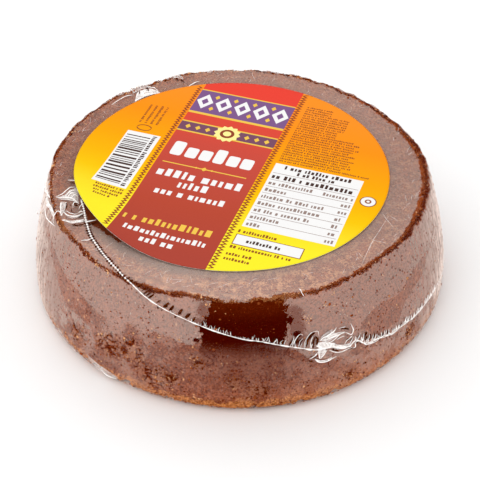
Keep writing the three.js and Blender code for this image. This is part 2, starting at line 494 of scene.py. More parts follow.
# A new material with its node tree and its place on the piece.
def newMaterial(name):
    material = bpy.data.materials.new(name)
    material.use_nodes = True
    tree = material.node_tree
    tree.nodes.clear()
    place = addNode(tree, "TexCoord").outputs["Object"]
    return material, tree, place


# Ends a material in a shader, and gives it back.
def endWith(material, shader):
    addNode(material.node_tree, "OutputMaterial", {"Surface": shader})
    return material


# A value kept between 0 and a limit.
def clamped(tree, value, most=1.0):
    return addNode(tree, "Clamp", {"Value": value, "Max": most}).outputs[0]


# A Principled surface from its colour, roughness and normals, with its other inputs by name.
def surface(tree, colour, roughness, normal=None, others=()):
    inputs = {"Base Color": colour, "Roughness": roughness, **dict(others)}
    if normal is not None:
        inputs["Normal"] = normal
    return addNode(tree, "BsdfPrincipled", inputs).outputs[0]


# A share of a shader over clear film.
def overClear(tree, share, shader):
    clear = addNode(tree, "BsdfTransparent").outputs[0]
    return addNode(tree, "MixShader", {0: share, 1: clear, 2: shader}).outputs[0]


# Normals pushed about by a height, in metres.
def bumped(tree, height, distance, strength=1.0):
    inputs = {"Height": height, "Distance": distance, "Strength": strength}
    return addNode(tree, "Bump", inputs).outputs[0]


specks = speckGroup()
matt = {"Specular IOR Level": 0.0}

# Camera, floor and light: a plain white studio with wide soft lamps.
studio = {
    "cameraPlace": (0.0000334, -0.3015, 0.25705),
    "cameraTurn": (50.6228, -0.6362, 0.4225),
    "lens": 101.56,
    "worldLight": 1.0,
    "floorRadius": 3.0,
    "floorColour": (0.96, 0.96, 0.96, 1),
    # place, width in metres, and light given, each aimed at the middle of the disc
    "lamps": [((-0.3, 0.45, 0.85), 0.7, 0.8), ((-0.42, -0.42, 0.7), 0.6, 1.0)],
}


def makeStudio():
    camera = bpy.data.objects.new("camera", bpy.data.cameras.new("camera"))
    camera.location = studio["cameraPlace"]
    camera.rotation_euler = [math.radians(angle) for angle in studio["cameraTurn"]]
    camera.data.lens = studio["lens"]
    camera.data.clip_start = 0.01
    bpy.context.scene.collection.objects.link(camera)
    bpy.context.scene.camera = camera
    world = bpy.data.worlds.new("world")
    world.use_nodes = True
    backdrop = world.node_tree.nodes["Background"]
    backdrop.inputs["Color"].default_value = (1, 1, 1, 1)
    backdrop.inputs["Strength"].default_value = studio["worldLight"]
    bpy.context.scene.world = world
    bpy.context.scene.view_settings.view_transform = "Standard"
    for number, (place, width, power) in enumerate(studio["lamps"]):
        lamp = bpy.data.objects.new(f"lamp{number}", bpy.data.lights.new(f"lamp{number}", "AREA"))
        lamp.data.shape = "DISK"
        lamp.data.size = width
        lamp.data.energy = power
        lamp.location = place
        lamp.rotation_euler = (-lamp.location).to_track_quat("-Z", "Y").to_euler()
        bpy.context.scene.collection.objects.link(lamp)
    material, tree, place = newMaterial("floor")
    tone = mixColours(tree, noiseOf(tree, place, 0.3), studio["floorColour"], (0.98, 0.98, 0.98, 1))
    endWith(material, surface(tree, tone, 0.9))
    angle = onceRound(64)
    rim = joined(np.cos(angle), np.sin(angle), 0) * studio["floorRadius"]
    floor = makeMesh("floor", rim, [np.arange(64)[None]])
    floor.data.materials.append(material)
    print("studio: camera, floor and", len(studio["lamps"]), "lamps")


makeStudio()

# The round paper label, where the CAD model has it, and its own directions: across its print, and up it.
label = {
    "radius": (labelHigh.x - labelLow.x) / 2,
    "centre": ((labelLow.x + labelHigh.x) / 2, (labelLow.y + labelHigh.y) / 2),
    "turned": -18.5,  # degrees from +X to the direction across the print
    "foot": labelLow.z,
    "thickness": 0.14 * mm,
    "curlRise": 2.8 * mm,
    "curlAngle": 206,
    "curlSpread": 26,
    "curlStart": 0.66,
    "rings": 60,
    "columns": 240,
    "band": (-21.4 * mm, 7.75 * mm),
    "strength": (0.8649, 0.9858),  # least and most by the fibres
    "bare": (0.8, 0.78, 0.74, 1),
    "sheen": {"Specular IOR Level": 0.02},
    "fibre": (0.5 * mm, 4, 0.7),  # size, detail and roughness
    # colours up the label, outside the band and on it, as (how far up in mm, colour)
    "fields": [(-40, (255, 240, 47)), (-28, (255, 238, 45)), (-20, (254, 224, 40)), (-12, (253, 200, 10)),
               (-5, (255, 184, 6)), (5, (255, 168, 6)), (20, (254, 148, 21)), (34, (254, 147, 39))],
    "bandFields": [(-40, (174, 71, 57)), (-20, (185, 74, 54)), (-6, (193, 77, 62)), (8, (205, 78, 64)),
                   (20, (221, 76, 60)), (38, (235, 70, 56))],
}

# How the film lies on the sugar, round the disc, and where its painted reflection of the studio and the
# painted shade lie. Turns are in degrees, and heights and widths in mm.
cling = {
    # height of the lower limit of the painted reflection on the wall
    "hazeFoot": [(-75, 4), (-60, 6), (-55, 13), (-51, 17), (-49, 21.4), (-45, 21.2), (-42, 20.4),
                 (-40, 20), (-37, 21.2), (-35, 19.4), (-32, 20.1), (-30.5, 22.1), (-28, 22.4),
                 (-25.5, 21.1), (-20, 22.2), (-17.5, 22.4), (-13, 20.3), (-11, 21.1), (-8, 23.5),
                 (14, 20), (20, 15), (28, 13), (34, 16), (38, 14), (46, 11), (60, 9), (75, 10), (110, 19),
                 (140, 22), (180, 18), (220, 22), (250, 18)],
    # strength of the painted reflection above that limit, under it, and over the top face
    "wallHaze": [(-90, 0.3), (-72, 0.27), (-60, 0.26), (-10, 0.25), (15, 0.23), (35, 0.22), (60, 0.23),
                 (75, 0.28), (100, 0.26), (180, 0.2)],
    "lowHaze": [(-80, 0.4), (-60, 0.3), (-50, 0.24), (-38, 0.19), (-22, 0.14), (-12, 0.07), (0, 0.03),
                (15, 0.07), (30, 0.15), (50, 0.2), (70, 0.3), (110, 0.12), (160, 0.08), (220, 0.14)],
    "topHaze": [(-180, 0.18), (-160, 0.14), (-120, 0.1), (-100, 0.08), (-80, 0.1), (-62, 0.18),
                (-50, 0.25), (-40, 0.25), (-20, 0.28), (0, 0.27), (20, 0.22), (40, 0.21), (60, 0.2),
                (80, 0.18), (100, 0.17), (140, 0.19)],
    # noises of the broken rim's middle, its width and the wet patch's edge: size in mm, rise, layers, seed
    "rimSway": (2.5, 0.35, 2, 82),
    "rimUneven": (3, 0.6, 2, 81),
    "wetUneven": (3.2, 1.1, 2, 83),
    # the wet patch is left clear of the painted reflection, and the sugar under it is darker
    "wetTurns": (-9.5, 12.9),  # the wet patch, where the film clings with no air under it
    "wetLean": 2.4,  # how far its left edge leans over at the top
    "wetFoot": 12.0,
    "wetFade": (15.5, 23.0),  # heights between which it dies away
    # the darker folds, with weaker painted reflection: their upper and lower edges as (turn, height)
    "folds": [([(34, 20.3), (37.8, 22.3), (41.8, 23.1), (45.8, 22.5), (50, 21.9), (53, 23.1), (57, 24.1),
                (61, 24.8), (68, 24.3), (71, 25.2), (75.5, 27.2), (78, 31)],
               [(34, 19.3), (38.2, 15.4), (42.5, 14.4), (47.8, 13.9), (50, 16.5), (52, 18.5), (57, 19.6),
                (61.5, 20.2), (64, 21.6), (67, 23.3), (71, 24.2), (75.5, 25.8), (78, 29.5)]),
              ([(-77, 32), (-74, 29.2), (-70, 28.1), (-66, 27), (-61, 25.5), (-56, 23.9), (-52, 22.7),
                (-48, 22.6), (-45, 21.4), (-42, 20.6)],
               [(-77, 29), (-74, 26), (-67, 24.5), (-62, 22.8), (-58, 19.6), (-55, 17.6), (-53, 16),
                (-50, 15.4), (-42, 15.3)])],
    # the wedge of painted shadow beside the label's curled edge, clear of the painted reflection, as lines
    # of (x, y) and their half widths
    "wedge": [([(-41.2, -14.5), (-40.2, -17), (-38.8, -19.5)], 1.5),
              ([(-38.6, -20), (-36.8, -23)], 1.9), ([(-36.4, -23.6), (-33, -27.5)], 1.35),
              ([(-33, -27.5), (-30.8, -30.3)], 0.8)],
    # small wet spots and damp places by the patch, as (turn, height, reach)
    "wetSpots": [(13.9, 27.6, 0.7), (15.3, 23.6, 0.9), (12.9, 31.4, 0.8), (15, 21.5, 1.2),
                 (-10.3, 22.5, 0.9)],
    "dampSpots": [(15, 29, 2.6), (15.5, 25.5, 2.4), (-8.6, 30.8, 2.2), (-10, 27.5, 1.2),
                  (16, 22.5, 2)],
    # where the bare broken rim runs, in from the crest, and its half width
    "rimLine": [(-180, 0), (-100, 0), (-72, -0.2), (-63, -0.9), (-58, -0.5), (-52, -0.45), (-46, -1.1),
                (-41, -1.4), (-33, -1.2), (-24, -1.4), (-18.5, -0.9), (-14, -0.4), (-7.4, -0.5),
                (-4.6, -0.8), (0.7, -0.7), (3.4, -0.5), (5.7, -0.25), (9, -0.35), (12.6, 0), (17, -0.45),
                (23, -0.5), (32, -0.4), (36, -0.15), (42, 0), (48, 0.15), (54, -0.05), (60, 0),
                (67, 0.45), (74, 0.7), (80, 0.85), (90, 0.7), (120, 0.5), (150, 0.3)],
    "rimWidth": [(-180, 0.6), (-162, 0.6), (-152, 1.2), (-140, 1.1), (-132, 0.6), (-110, 0.6),
                 (-80, 0.35), (-70, 0.3), (-63, 0.9), (-56, 0.4), (-46, 0.5), (-38, 0.45), (-32, 0.6),
                 (-27, 0.7), (-24, 0.62), (-18, 0.62), (-12, 0.55), (-7, 0.25), (0, 0.16), (5, 0.3),
                 (9, 0.45), (12.6, 0.85), (17, 0.6), (23, 0.4), (30, 0.45), (42, 0.5), (48, 0.6),
                 (54, 0.6), (60, 0.9), (74, 1.1), (100, 1.1), (130, 0.9), (160, 0.6)],
    # middles and reaches of the places where pits crowd together, as (turn, height, reach)
    "pitCrowds": [(-36, 12, 4.2), (-28, 14.2, 3.8), (-22.5, 8, 4.2), (-17, 9.5, 2), (-47, 9, 3.5),
                  (-10, 16, 1.6), (-1, 11, 2), (5, 8, 3), (53, 7.5, 2.4), (30, 6, 2.4), (95, 12, 7),
                  (140, 9, 6), (178, 13, 8), (-140, 10, 7), (-95, 8, 6)],
    # pores of two sizes: spacing, size as a share of it, and chance of each
    "pores": [(2.1 * mm, 0.13, 0.4), (1.0 * mm, 0.22, 0.9)],
    # how strongly the film's painted glancing reflection gleams, round the disc
    "gleam": [(-100, 1.3), (-68, 1.1), (-55, 0.5), (0, 0.3), (50, 0.5), (62, 1), (75, 1.3), (110, 1.1),
              (180, 1)],
}
wallTop = disc["height"] - disc["rimRise"]
crest = disc["rimRadius"] - disc["crestShare"] * disc["rimWidth"]


# A place on the disc from its turn and its distance in from the crest: over the rim and inwards where that
# is positive, and straight down the wall where it is past the rim's outer line.
def fromCrest(turn, inward):
    radius = crest - np.maximum(inward, crest - disc["rimRadius"])
    down = np.minimum(inward - (crest - disc["rimRadius"]), 0)
    height = np.where(down < 0, wallTop + down, topHeight(radius))
    radius = np.where(down < 0, wallRadius(np.maximum(height, 0)), radius)
    return realOutline(around(turn, radius, height))


# The outward direction at such a place: the cross product of two short steps over the surface.
def outwardAt(turn, inward):
    step = 0.2 * mm
    across = fromCrest(turn + 0.2, inward) - fromCrest(turn - 0.2, inward)
    upward = fromCrest(turn, inward + step) - fromCrest(turn, inward - step)
    return unit(np.cross(across, upward)), unit(across)


# Distance from places to a broken line in the same two directions.
def awayFromLine(first, second, line):
    place = joined(first, second)
    nearest = np.full(first.shape, 1e3)
    for start, end in zip(np.array(line[:-1], float), np.array(line[1:], float)):
        along = end - start
        share = np.clip(((place - start) @ along) / (along @ along), 0, 1)
        nearest = np.minimum(nearest, np.linalg.norm(place - start - share[..., None] * along, axis=-1))
    return nearest


# How far places are inside a band between two broken lines and their ends.
def betweenLines(turn, tall, upper, lower):
    upper, lower = np.array(upper, float).T, np.array(lower, float).T
    inside = np.minimum(np.interp(turn, *upper) - tall, tall - np.interp(turn, *lower))
    return np.minimum(inside, np.minimum(turn - upper[0, 0], upper[0, -1] - turn))


# How far the broken rim stands out round the back, in mm: noise that dies away from the crest and towards
# the front.
def raggedRim(place, turn, inward):
    noise = layeredNoise(place, 3.4 * mm, 3, 85) * (0.6 - 0.15 * np.sin(np.radians(turn)))
    return noise * hump(inward, 0, 2.2) * ease(np.abs((turn + 180) % 360 - 180), 45, 85)


# Worm-like pits where they crowd together: ridges of noise above a level that falls with the crowding.
def pitsOf(grid, crowd):
    ridge = 1 - np.abs(layeredNoise(grid * np.array([1, 1, 1.4]), 1.9 * mm, 2, 41)) * 2.4
    return ease(ridge - (1.13 - 0.68 * crowd), 0, 0.16) * (crowd > 0.05)


# What the sugar and the film share: distances in mm into the broken rim, wet patch and the wedge of
# painted shadow by the label's curl, and how crowded the pits are.
def lieOf(grid, turn, radius, height):
    tall = height / mm
    onTop = (radius < disc["rimRadius"] - 0.01 * mm) & (height > disc["height"] - 2 * mm)
    inward = np.where(onTop, crest - radius, crest - disc["rimRadius"] + height - wallTop) / mm
    fromLine = inward - roundDisc(turn, cling["rimLine"])
    across = fromLine - uneven(grid, cling["rimSway"])
    halfWidth = roundDisc(turn, cling["rimWidth"]) * (1 + uneven(grid, cling["rimUneven"]))
    crowd = 0.35 * ease(layeredNoise(grid, 11 * mm, 3, 31), 0.1, 0.5)
    for centreTurn, centreHeight, reach in cling["pitCrowds"]:
        off = np.hypot((turn - centreTurn + 180) % 360 - 180, tall - centreHeight)
        crowd = crowd + hump(off, 0, reach)
    crowd = np.clip(crowd, 0, 1) * ~onTop * ease(tall, 27, 22)
    low, high = cling["wetTurns"]
    low = low + cling["wetLean"] * ease(tall, 26.5, 31)
    wet = np.minimum(np.minimum(turn - low, high - turn), tall - cling["wetFoot"])
    for spotTurn, spotHeight, reach in cling["wetSpots"]:
        wet = np.maximum(wet, reach - np.hypot(turn - spotTurn, tall - spotHeight))
    wet = wet + uneven(grid, cling["wetUneven"]) * ease(tall, 33, 30)
    wet = np.minimum(wet, 0.2 - 4 * across)
    damp = 0 * turn
    for spotTurn, spotHeight, reach in cling["dampSpots"]:
        damp = np.maximum(damp, hump(np.hypot(turn - spotTurn, tall - spotHeight), 0, reach))
    x, y = grid[..., 0] / mm, grid[..., 1] / mm
    wedge = np.maximum.reduce([half - awayFromLine(x, y, line) for line, half in cling["wedge"]])
    # Painted shadow of the label: darker sugar in a band beside its edge over the top face, strongest at
    # the front left.
    paperX, paperY = label["centre"]
    fromPaper = np.hypot(grid[..., 0] - paperX, grid[..., 1] - paperY) - label["radius"]
    byPaper = ease(fromPaper / mm, 4.5, 0.8) * (0.35 + 0.65 * hump(turn, -30, 45)) * onTop
    return {"onTop": onTop, "onWall": 1.0 * ~onTop, "base": radius < disc["baseRadius"] * 0.99,
            "tall": tall, "rim": halfWidth - np.abs(across), "rimAcross": np.clip(across, -1.5, 1.5),
            "underRim": hump(fromLine, -1.0, 1.1), "ragged": raggedRim(grid, turn, inward),
            "crowd": crowd, "pits": pitsOf(grid, crowd), "wet": wet, "damp": damp,
            "wetDepth": ease(tall, *cling["wetFade"]), "wedge": np.where(onTop, wedge, -5),
            "byPaper": byPaper}


lieNames = ["rim", "pits", "wet", "wetDepth", "wedge", "onWall"]


# Masks that the sugar and the film share, from their stored distances: each edge is made ragged by fine
# noise. Pores are two sizes of speck on the wall.
def lieGroup():
    inputs = [("Place", "Vector", None)] + [(name, "Float", 0.0) for name in lieNames]
    group, given, result = newGroup("lie", inputs, ["Rim", "Pits", "Wet", "Wedge", "Pores"])
    place, rim, pits, wet, wetDepth, wedge, onWall = (given.outputs[at] for at in range(7))
    jitter = aboutZero(group, noiseOf(group, place, 0.8 * mm, 3.0, 0.75))
    coarse = aboutZero(group, noiseOf(group, place, 2.6 * mm, 2.0, 0.6))
    wet = raggedEdge(group, coarse, 3.0, scaled(group, jitter, 3.4, wet), -0.25, 0.3)
    large, small = (speckled(group, place, *size) for size in cling["pores"])
    masks = {
        "Rim": raggedEdge(group, jitter, 2.2, rim, -0.1, 0.08),
        "Pits": raggedEdge(group, jitter, 1.6, pits, 0.3, 0.55),
        "Wet": scaled(group, wet, wetDepth),
        "Wedge": raggedEdge(group, jitter, 2.2, wedge, -0.15, 0.35),
        "Pores": scaled(group, greatest(group, large, small), onWall),
    }
    for name, mask in masks.items():
        group.links.new(mask, result.inputs[name])
    return group


# Stores on a piece what the shared masks are worked out from.
def storeLie(made, grid, lie):
    storePlace(made, grid)
    storeValues(made, **{name: lie[name] for name in lieNames + ["damp", "crowd"]})


lieMasks = lieGroup()


# The shared masks in a material, from the piece's stored values.
def placeLie(tree):
    inputs = {name: stored(tree, name) for name in lieNames}
    inputs["Place"] = addNode(tree, "Attribute", attribute_name="castPlace").outputs["Vector"]
    return placeGroup(tree, lieMasks, inputs)


# The cast sugar: a closed surface just inside the film, pitted and crumbly along both edges. In mm.
sugar = {
    "columns": 660,
    "rows": (5, 16, 70, 18, 16, 5),
    "inside": 0.1,  # how far it lies under the wrapped form
    "swell": (7, 0.16, 3, 11),  # size in mm, rise, layers and seed of the slow unevenness
    "grain": (1.5, 0.14, 3, 21),
    "broken": (2.2, 1, 4, 51),
    "pitDepth": 0.45,
    "rimCrumble": 0.6,
    "edgeCrumble": 1.0,
    # noises in its colours: size, detail and roughness
    "slow": (5 * mm, 3, 0.6),
    "fine": (0.6 * mm, 3, 0.7),
    "tiny": (0.35 * mm, 2, 0.6),
    "patches": (2.4 * mm, 5, 0.8),
    # how strongly each colour is laid over the ones before it
    "strengths": {"glow": 0.85, "fleck": 0.75, "crowded": 0.85, "damp": 0.85, "byPaper": 0.75,
                  "underRim": 0.8},
    "body": (tint(110, 43, 21), tint(180, 98, 62)),
    "tan": tint(224, 164, 116),
    "pore": tint(94, 30, 12),
    "pit": (tint(92, 26, 4), tint(158, 66, 26)),
    "fleck": tint(232, 170, 118),
    "flecks": (1.4 * mm, 0.2, 0.3),  # spacing, size as a share of it, and chance of each
    "crust": (tint(88, 24, 4), tint(150, 70, 26)),
    "wet": (tint(62, 4, 0), tint(104, 36, 12)),
    # colour of the painted sheen at the top of the wet patch
    "wetTop": tint(84, 20, 0),
    # colours of the painted shade under the rim
    "underRim": (tint(104, 44, 14), tint(160, 82, 30)),
    # colour of the painted glow along the bottom edge
    "glow": tint(200, 118, 68),
    "warm": (tint(160, 82, 30), tint(228, 150, 84)),
    # colour of the painted shadow in the wedge by the label's curl
    "wedge": tint(112, 50, 26),
    # colour of the painted shadow beside the label
    "byPaper": tint(70, 44, 40),
    "crowded": tint(174, 110, 80),
    "paleRim": (tint(138, 78, 40), tint(184, 122, 76)),
}


# The sugar's surface: the wrapped form moved in by slow noise, grain, pits and crumbled edges.
def makeSugar():
    grid, turn, radius, height = discGrid(sugar["columns"], *sugar["rows"])
    lie = lieOf(grid, turn, radius, height)
    tall = lie["tall"]
    edge = hump(tall, 1.6, 2.4) * ~lie["base"]
    broken = np.abs(uneven(grid, sugar["broken"]))
    relief = uneven(grid, sugar["swell"]) + uneven(grid, sugar["grain"]) - sugar["pitDepth"] * lie["pits"]
    relief = relief - sugar["rimCrumble"] * ease(lie["rim"], -0.5, 0.3) * ease(broken, 0.02, 0.3)
    relief = relief - sugar["edgeCrumble"] * edge * ease(broken, 0.02, 0.35)
    relief = np.minimum(relief, 0.05) - sugar["inside"] + lie["ragged"]
    placed = grid + gridNormals(grid) * relief[..., None] * mm
    placed[..., 2] = np.maximum(placed[..., 2], 0.1 * mm)
    made = makeClosed("sugar_disc", placed, (0, 0, 0.1 * mm), (0, 0, placed[-1, :, 2].mean()))
    storeLie(made, grid, lie)
    # Painted shade: darker over the middle of the front wall, and over the top face at the right.
    shade = 0.5 * hump(turn, 3, 20) * hump(tall, 17, 9) + 0.22 * hump(turn, 85, 50) * lie["onTop"]
    # Painted shade just under the rim, on both sides of the wet patch.
    underRim = 0.8 * lie["underRim"] * np.maximum(hump(turn, -9, 3.5), hump(turn, 11.5, 2.5))
    paleRim = np.maximum(hump(turn, 5, 12), 0.8 * hump(turn, -63, 5) + 0.6 * hump(turn, -148, 14))
    foot = 1.2 * hump(tall, 2, 2.6) * (1 - 0.35 * hump(turn, 42, 24)) * ~lie["base"]
    # Painted glow: light shining through the sugar along the bottom edge at the front right.
    glow = hump(tall, 0, 8) * hump(turn, 34, 24) * ~lie["base"]
    tan = (0.25 + 0.75 * hump(turn, 5, 45) + 0.2 * hump(turn, 90, 35)) * lie["onTop"]
    storeValues(made, shade=shade, underRim=underRim, paleRim=paleRim, foot=foot, glow=glow, tan=tan,
                wetTop=ease(tall, 27, 33.5), rimAcross=lie["rimAcross"], byPaper=lie["byPaper"])
    return made


# Sugar: two browns by noise, and over them in turn all that darkens, reddens or lightens them, each by its
# own share. Among them are painted shade, a painted shadow beside the label and one by its curl, painted
# shade under the rim, a painted glow along the bottom edge and a painted sheen in the wet patch.
def sugarMaterial():
    material, tree, place = newMaterial("cast_sugar")
    lie = placeLie(tree)
    noises = ("slow", "fine", "tiny", "patches")
    slow, fine, tiny, patch = (noiseOf(tree, place, *sugar[name]) for name in noises)
    jitter, sway = aboutZero(tree, fine), aboutZero(tree, slow)
    tone = reckon(tree, "ADD", scaled(tree, slow, 0.22), scaled(tree, fine, 0.78))
    patch = scaled(tree, easeNode(tree, patch, 0.48, 0.58), easeNode(tree, tiny, 0.3, 0.55))
    warmth = raggedEdge(tree, jitter, 1.6, scaled(tree, sway, 2.0, stored(tree, "foot")), 0.4, 0.8)
    crowded = scaled(tree, jitter, 2.4, stored(tree, "crowd"))
    wetTop = stored(tree, "wetTop")
    wetTones = mixColours(tree, wetTop, sugar["wet"][0], sugar["wetTop"]), sugar["wet"][1]
    crustTone = scaled(tree, stored(tree, "rimAcross"), 0.3, tiny)
    crusts = [twoColours(tree, crustTone, 0.4, 0.7, sugar["crust"]),
              twoColours(tree, tiny, 0.42, 0.62, sugar["paleRim"])]
    shares = {
        "glow": stored(tree, "glow"),
        "fleck": speckled(tree, place, *sugar["flecks"]),
        "crowded": raggedEdge(tree, sway, 1.5, crowded, 0.45, 0.65),
        "damp": raggedEdge(tree, jitter, 1.6, stored(tree, "damp"), 0.15, 0.6),
        "byPaper": stored(tree, "byPaper"),
        "underRim": raggedEdge(tree, jitter, 3.4, stored(tree, "underRim"), 0.5, 0.8),
    }
    shares = {name: scaled(tree, share, sugar["strengths"][name]) for name, share in shares.items()}
    colour = overlaid(tree, twoColours(tree, tone, 0.38, 0.62, sugar["body"]), [
        (scaled(tree, patch, stored(tree, "tan")), sugar["tan"]),
        (shares["glow"], sugar["glow"]),
        (warmth, twoColours(tree, fine, 0.4, 0.6, sugar["warm"])),
        (shares["fleck"], sugar["fleck"]),
        (shares["crowded"], sugar["crowded"]),
        (lie["Pits"], twoColours(tree, tiny, 0.45, 0.7, sugar["pit"])),
        (lie["Pores"], sugar["pore"]),
        (stored(tree, "shade"), sugar["wet"][0]),
        (shares["damp"], sugar["wet"][1]),
        (shares["byPaper"], sugar["byPaper"]),
        (lie["Wedge"], sugar["wedge"]),
        (lie["Wet"], twoColours(tree, scaled(tree, wetTop, 0.1, tiny), 0.56, 0.86, wetTones)),
        (shares["underRim"], twoColours(tree, tiny, 0.5, 0.75, sugar["underRim"])),
        (lie["Rim"], mixColours(tree, stored(tree, "paleRim"), *crusts)),
    ])
    height = reckon(tree, "SUBTRACT", fine, scaled(tree, lie["Pores"], 0.8))
    return endWith(material, surface(tree, colour, 0.7, bumped(tree, height, 0.3 * mm, 0.8), matt))


finishPiece(makeSugar(), sugarMaterial(), "wrapped_sugar", "wrapped_sugar_disc")

# Loose crumbs under the film: along the rim, on the pitted wall, round the bottom edge and strewn over
# the top.
crumb = {
    "seed": 12,
    "alongRim": 1100,
    "pitted": 1200,
    "bottom": 900,
    "onWall": 1900,
    # small heaps of pale crumbs, as (turn, height, how many, spread)
    "heaps": [(18.8, 27, 16, 0.8), (26.8, 28.6, 5, 0.5), (24, 29.4, 3, 0.4), (-37.5, 14.6, 5, 0.5),
              (-20.5, 21.1, 4, 0.4), (-15.1, 22.6, 7, 0.9), (-12, 17.4, 3, 0.4), (-0.3, 17.5, 4, 0.4),
              (-0.5, 9.4, 6, 0.8), (-3.8, 16.4, 3, 0.4), (-42.5, 32.4, 9, 0.9), (-38.5, 32, 10, 0.8),
              (-7.6, 32.4, 8, 0.9), (-6, 31, 3, 0.3), (-3, 30.6, 2, 0.2), (-63, 32.4, 14, 1),
              (27, 32.6, 6, 0.8), (44, 31.2, 8, 1.2)],
    "strewn": 200,
    "rimSpread": 0.85,  # in widths of the broken rim
    "pitSpread": 0.8,  # in reaches of the crowded pits
    "footSpread": 1.3,
    "wallReach": (0.04, 1),  # shares of the wall's height
    "topReach": (1.0, 7.0),  # how far in from the crest
    "rimSunk": 0.1,
    "lift": 0.03,
    "size": (0.13, 0.45),  # middle radius in mm, and how far the sizes spread
    "flatness": 0.55,
    "colours": (tint(90, 30, 10), tint(156, 78, 38), tint(230, 172, 122)),
    "mottle": (0.3 * mm, 2, 0.6),  # size, detail and roughness
}


# Crumbs as small uneven closed lumps, set where the rim, the pits and the bottom edge run.
def makeCrumbs():
    chance = np.random.default_rng(crumb["seed"])
    rimTurn = chance.uniform(-180, 180, crumb["alongRim"])
    rimOff = roundDisc(rimTurn, cling["rimLine"])
    spread = chance.normal(0, crumb["rimSpread"], len(rimTurn))
    rimOff = rimOff + spread * roundDisc(rimTurn, cling["rimWidth"])
    crowds = np.array(cling["pitCrowds"], float)
    picked = crowds[chance.integers(0, len(crowds), crumb["pitted"])]
    spread = chance.normal(0, crumb["pitSpread"], (crumb["pitted"], 2)) * picked[:, 2:]
    pitTurn = picked[:, 0] + spread[:, 0]
    pitHeight = np.clip(picked[:, 1] + spread[:, 1], 1, 22)
    footTurn = chance.uniform(-180, 180, crumb["bottom"])
    footHeight = 0.5 + np.abs(chance.normal(0, crumb["footSpread"], crumb["bottom"]))
    wallTurn = chance.uniform(-180, 180, crumb["onWall"])
    wallHeight = 32 * chance.uniform(*crumb["wallReach"], crumb["onWall"]) ** 1.3
    heaps = np.array(crumb["heaps"], float)
    heaps = np.repeat(heaps, heaps[:, 2].astype(int), axis=0)
    heapTurn = heaps[:, 0] + chance.normal(0, 0.6, len(heaps)) * heaps[:, 3]
    heapHeight = heaps[:, 1] + chance.normal(0, 0.6, len(heaps)) * heaps[:, 3]
    topTurn = chance.uniform(-180, 180, crumb["strewn"])
    topOff = chance.uniform(*crumb["topReach"], crumb["strewn"])
    turn = np.concatenate([rimTurn, pitTurn, footTurn, wallTurn, heapTurn, topTurn])
    toWall = (crest - disc["rimRadius"] - wallTop) / mm
    onWallHeight = np.concatenate([pitHeight, footHeight, wallHeight, heapHeight])
    inward = np.concatenate([rimOff, onWallHeight + toWall, topOff]) * mm
    lift = np.where(np.arange(len(turn)) < crumb["alongRim"], -crumb["rimSunk"], crumb["lift"])
    outward, along = outwardAt(turn, inward)
    middle, spread = crumb["size"]
    radius = middle * np.exp(chance.normal(0, spread, len(turn)))
    radius[:crumb["alongRim"]] *= 1 + 0.5 * ease(np.abs(rimTurn), 50, 80)
    radius[-crumb["strewn"]:] *= 0.8
    heaped = slice(-crumb["strewn"] - len(heaps), -crumb["strewn"])
    radius[heaped] *= 1.1
    tone = chance.uniform(0, 1, len(turn))
    low, high = cling["wetTurns"]
    tone[(turn > low) & (turn < high)] *= 0.6
    tone[:crumb["alongRim"]] *= 1 - 0.2 * hump(rimTurn, 90, 50)
    tone[heaped] = chance.uniform(0.75, 1, len(heaps))
    stretch = chance.uniform(0.7, 1.3, (len(turn), 3))
    sizes = radius[:, None] * np.array([1, 1, crumb["flatness"]]) * stretch * mm
    places = fromCrest(turn, inward)
    places = places + outward * (raggedRim(places, turn, inward / mm) + lift)[:, None] * mm
    made = makeMany("sugar_crumbs", [lumps(places, outward, along, sizes, 13, 3, 6)])
    perCrumb = len(made.data.vertices) // len(turn)
    storeValues(made, tone=np.repeat(tone, perCrumb))
    return made


# Crumbs: each has its own place between dark crust, brown sugar and pale tan, mottled by fine noise.
def crumbMaterial():
    material, tree, place = newMaterial("sugar_crumb")
    tiny = noiseOf(tree, place, *crumb["mottle"])
    tone = scaled(tree, aboutZero(tree, tiny), 0.8, stored(tree, "tone"))
    dark, brown, pale = crumb["colours"]
    colour = twoColours(tree, tone, 0.0, 0.5, (dark, brown))
    colour = twoColours(tree, tone, 0.66, 0.9, (colour, pale))
    return endWith(material, surface(tree, colour, 0.8, bumped(tree, tiny, 0.1 * mm, 0.6), matt))


finishPiece(makeCrumbs(), crumbMaterial(), "wrapped_sugar")

# The clear film, shrunk on tight. It shows by a whitish haze: painted reflection of the studio, laid out
# round the disc by turn and height, and left off where the film clings.
film = {
    "columns": 520,
    "rows": (4, 10, 70, 14, 14, 4),
    "lift": 0.07,  # how far it lies over the wrapped form, in mm
    "wrinkle": (2.2, 0.06, 3, 61),  # size in mm, rise, layers and seed
    "crumple": (1.4, 0.16, 2, 62),  # the same along the broken rim
    # noises in its painted reflection: size, detail and roughness
    "fine": (0.7 * mm, 3, 0.75),
    "slow": (5 * mm, 3, 0.6),
    "streaks": (1.2 * mm, 3, 0.65),
    "streakSquash": 0.12,  # how much the streaks are squashed in height, so that they run upwards
    "streakGleam": (0.35, 1.1),  # least gleam, and how much the streaks add
    "foldShade": 0.42,
    "crowdedBare": 0.5,
    "dampBare": 0.62,
    "bareShare": 0.95,
    "glints": (1.3 * mm, 0.13, 0.4),  # spacing, size as a share of it, and chance of each
    "glintShare": 0.22,
    "most": 0.85,  # the thickest haze
    "colour": (1.0, 0.82, 0.72, 1),
    "pore": tint(134, 54, 28),
    "poreShare": 0.8,
}


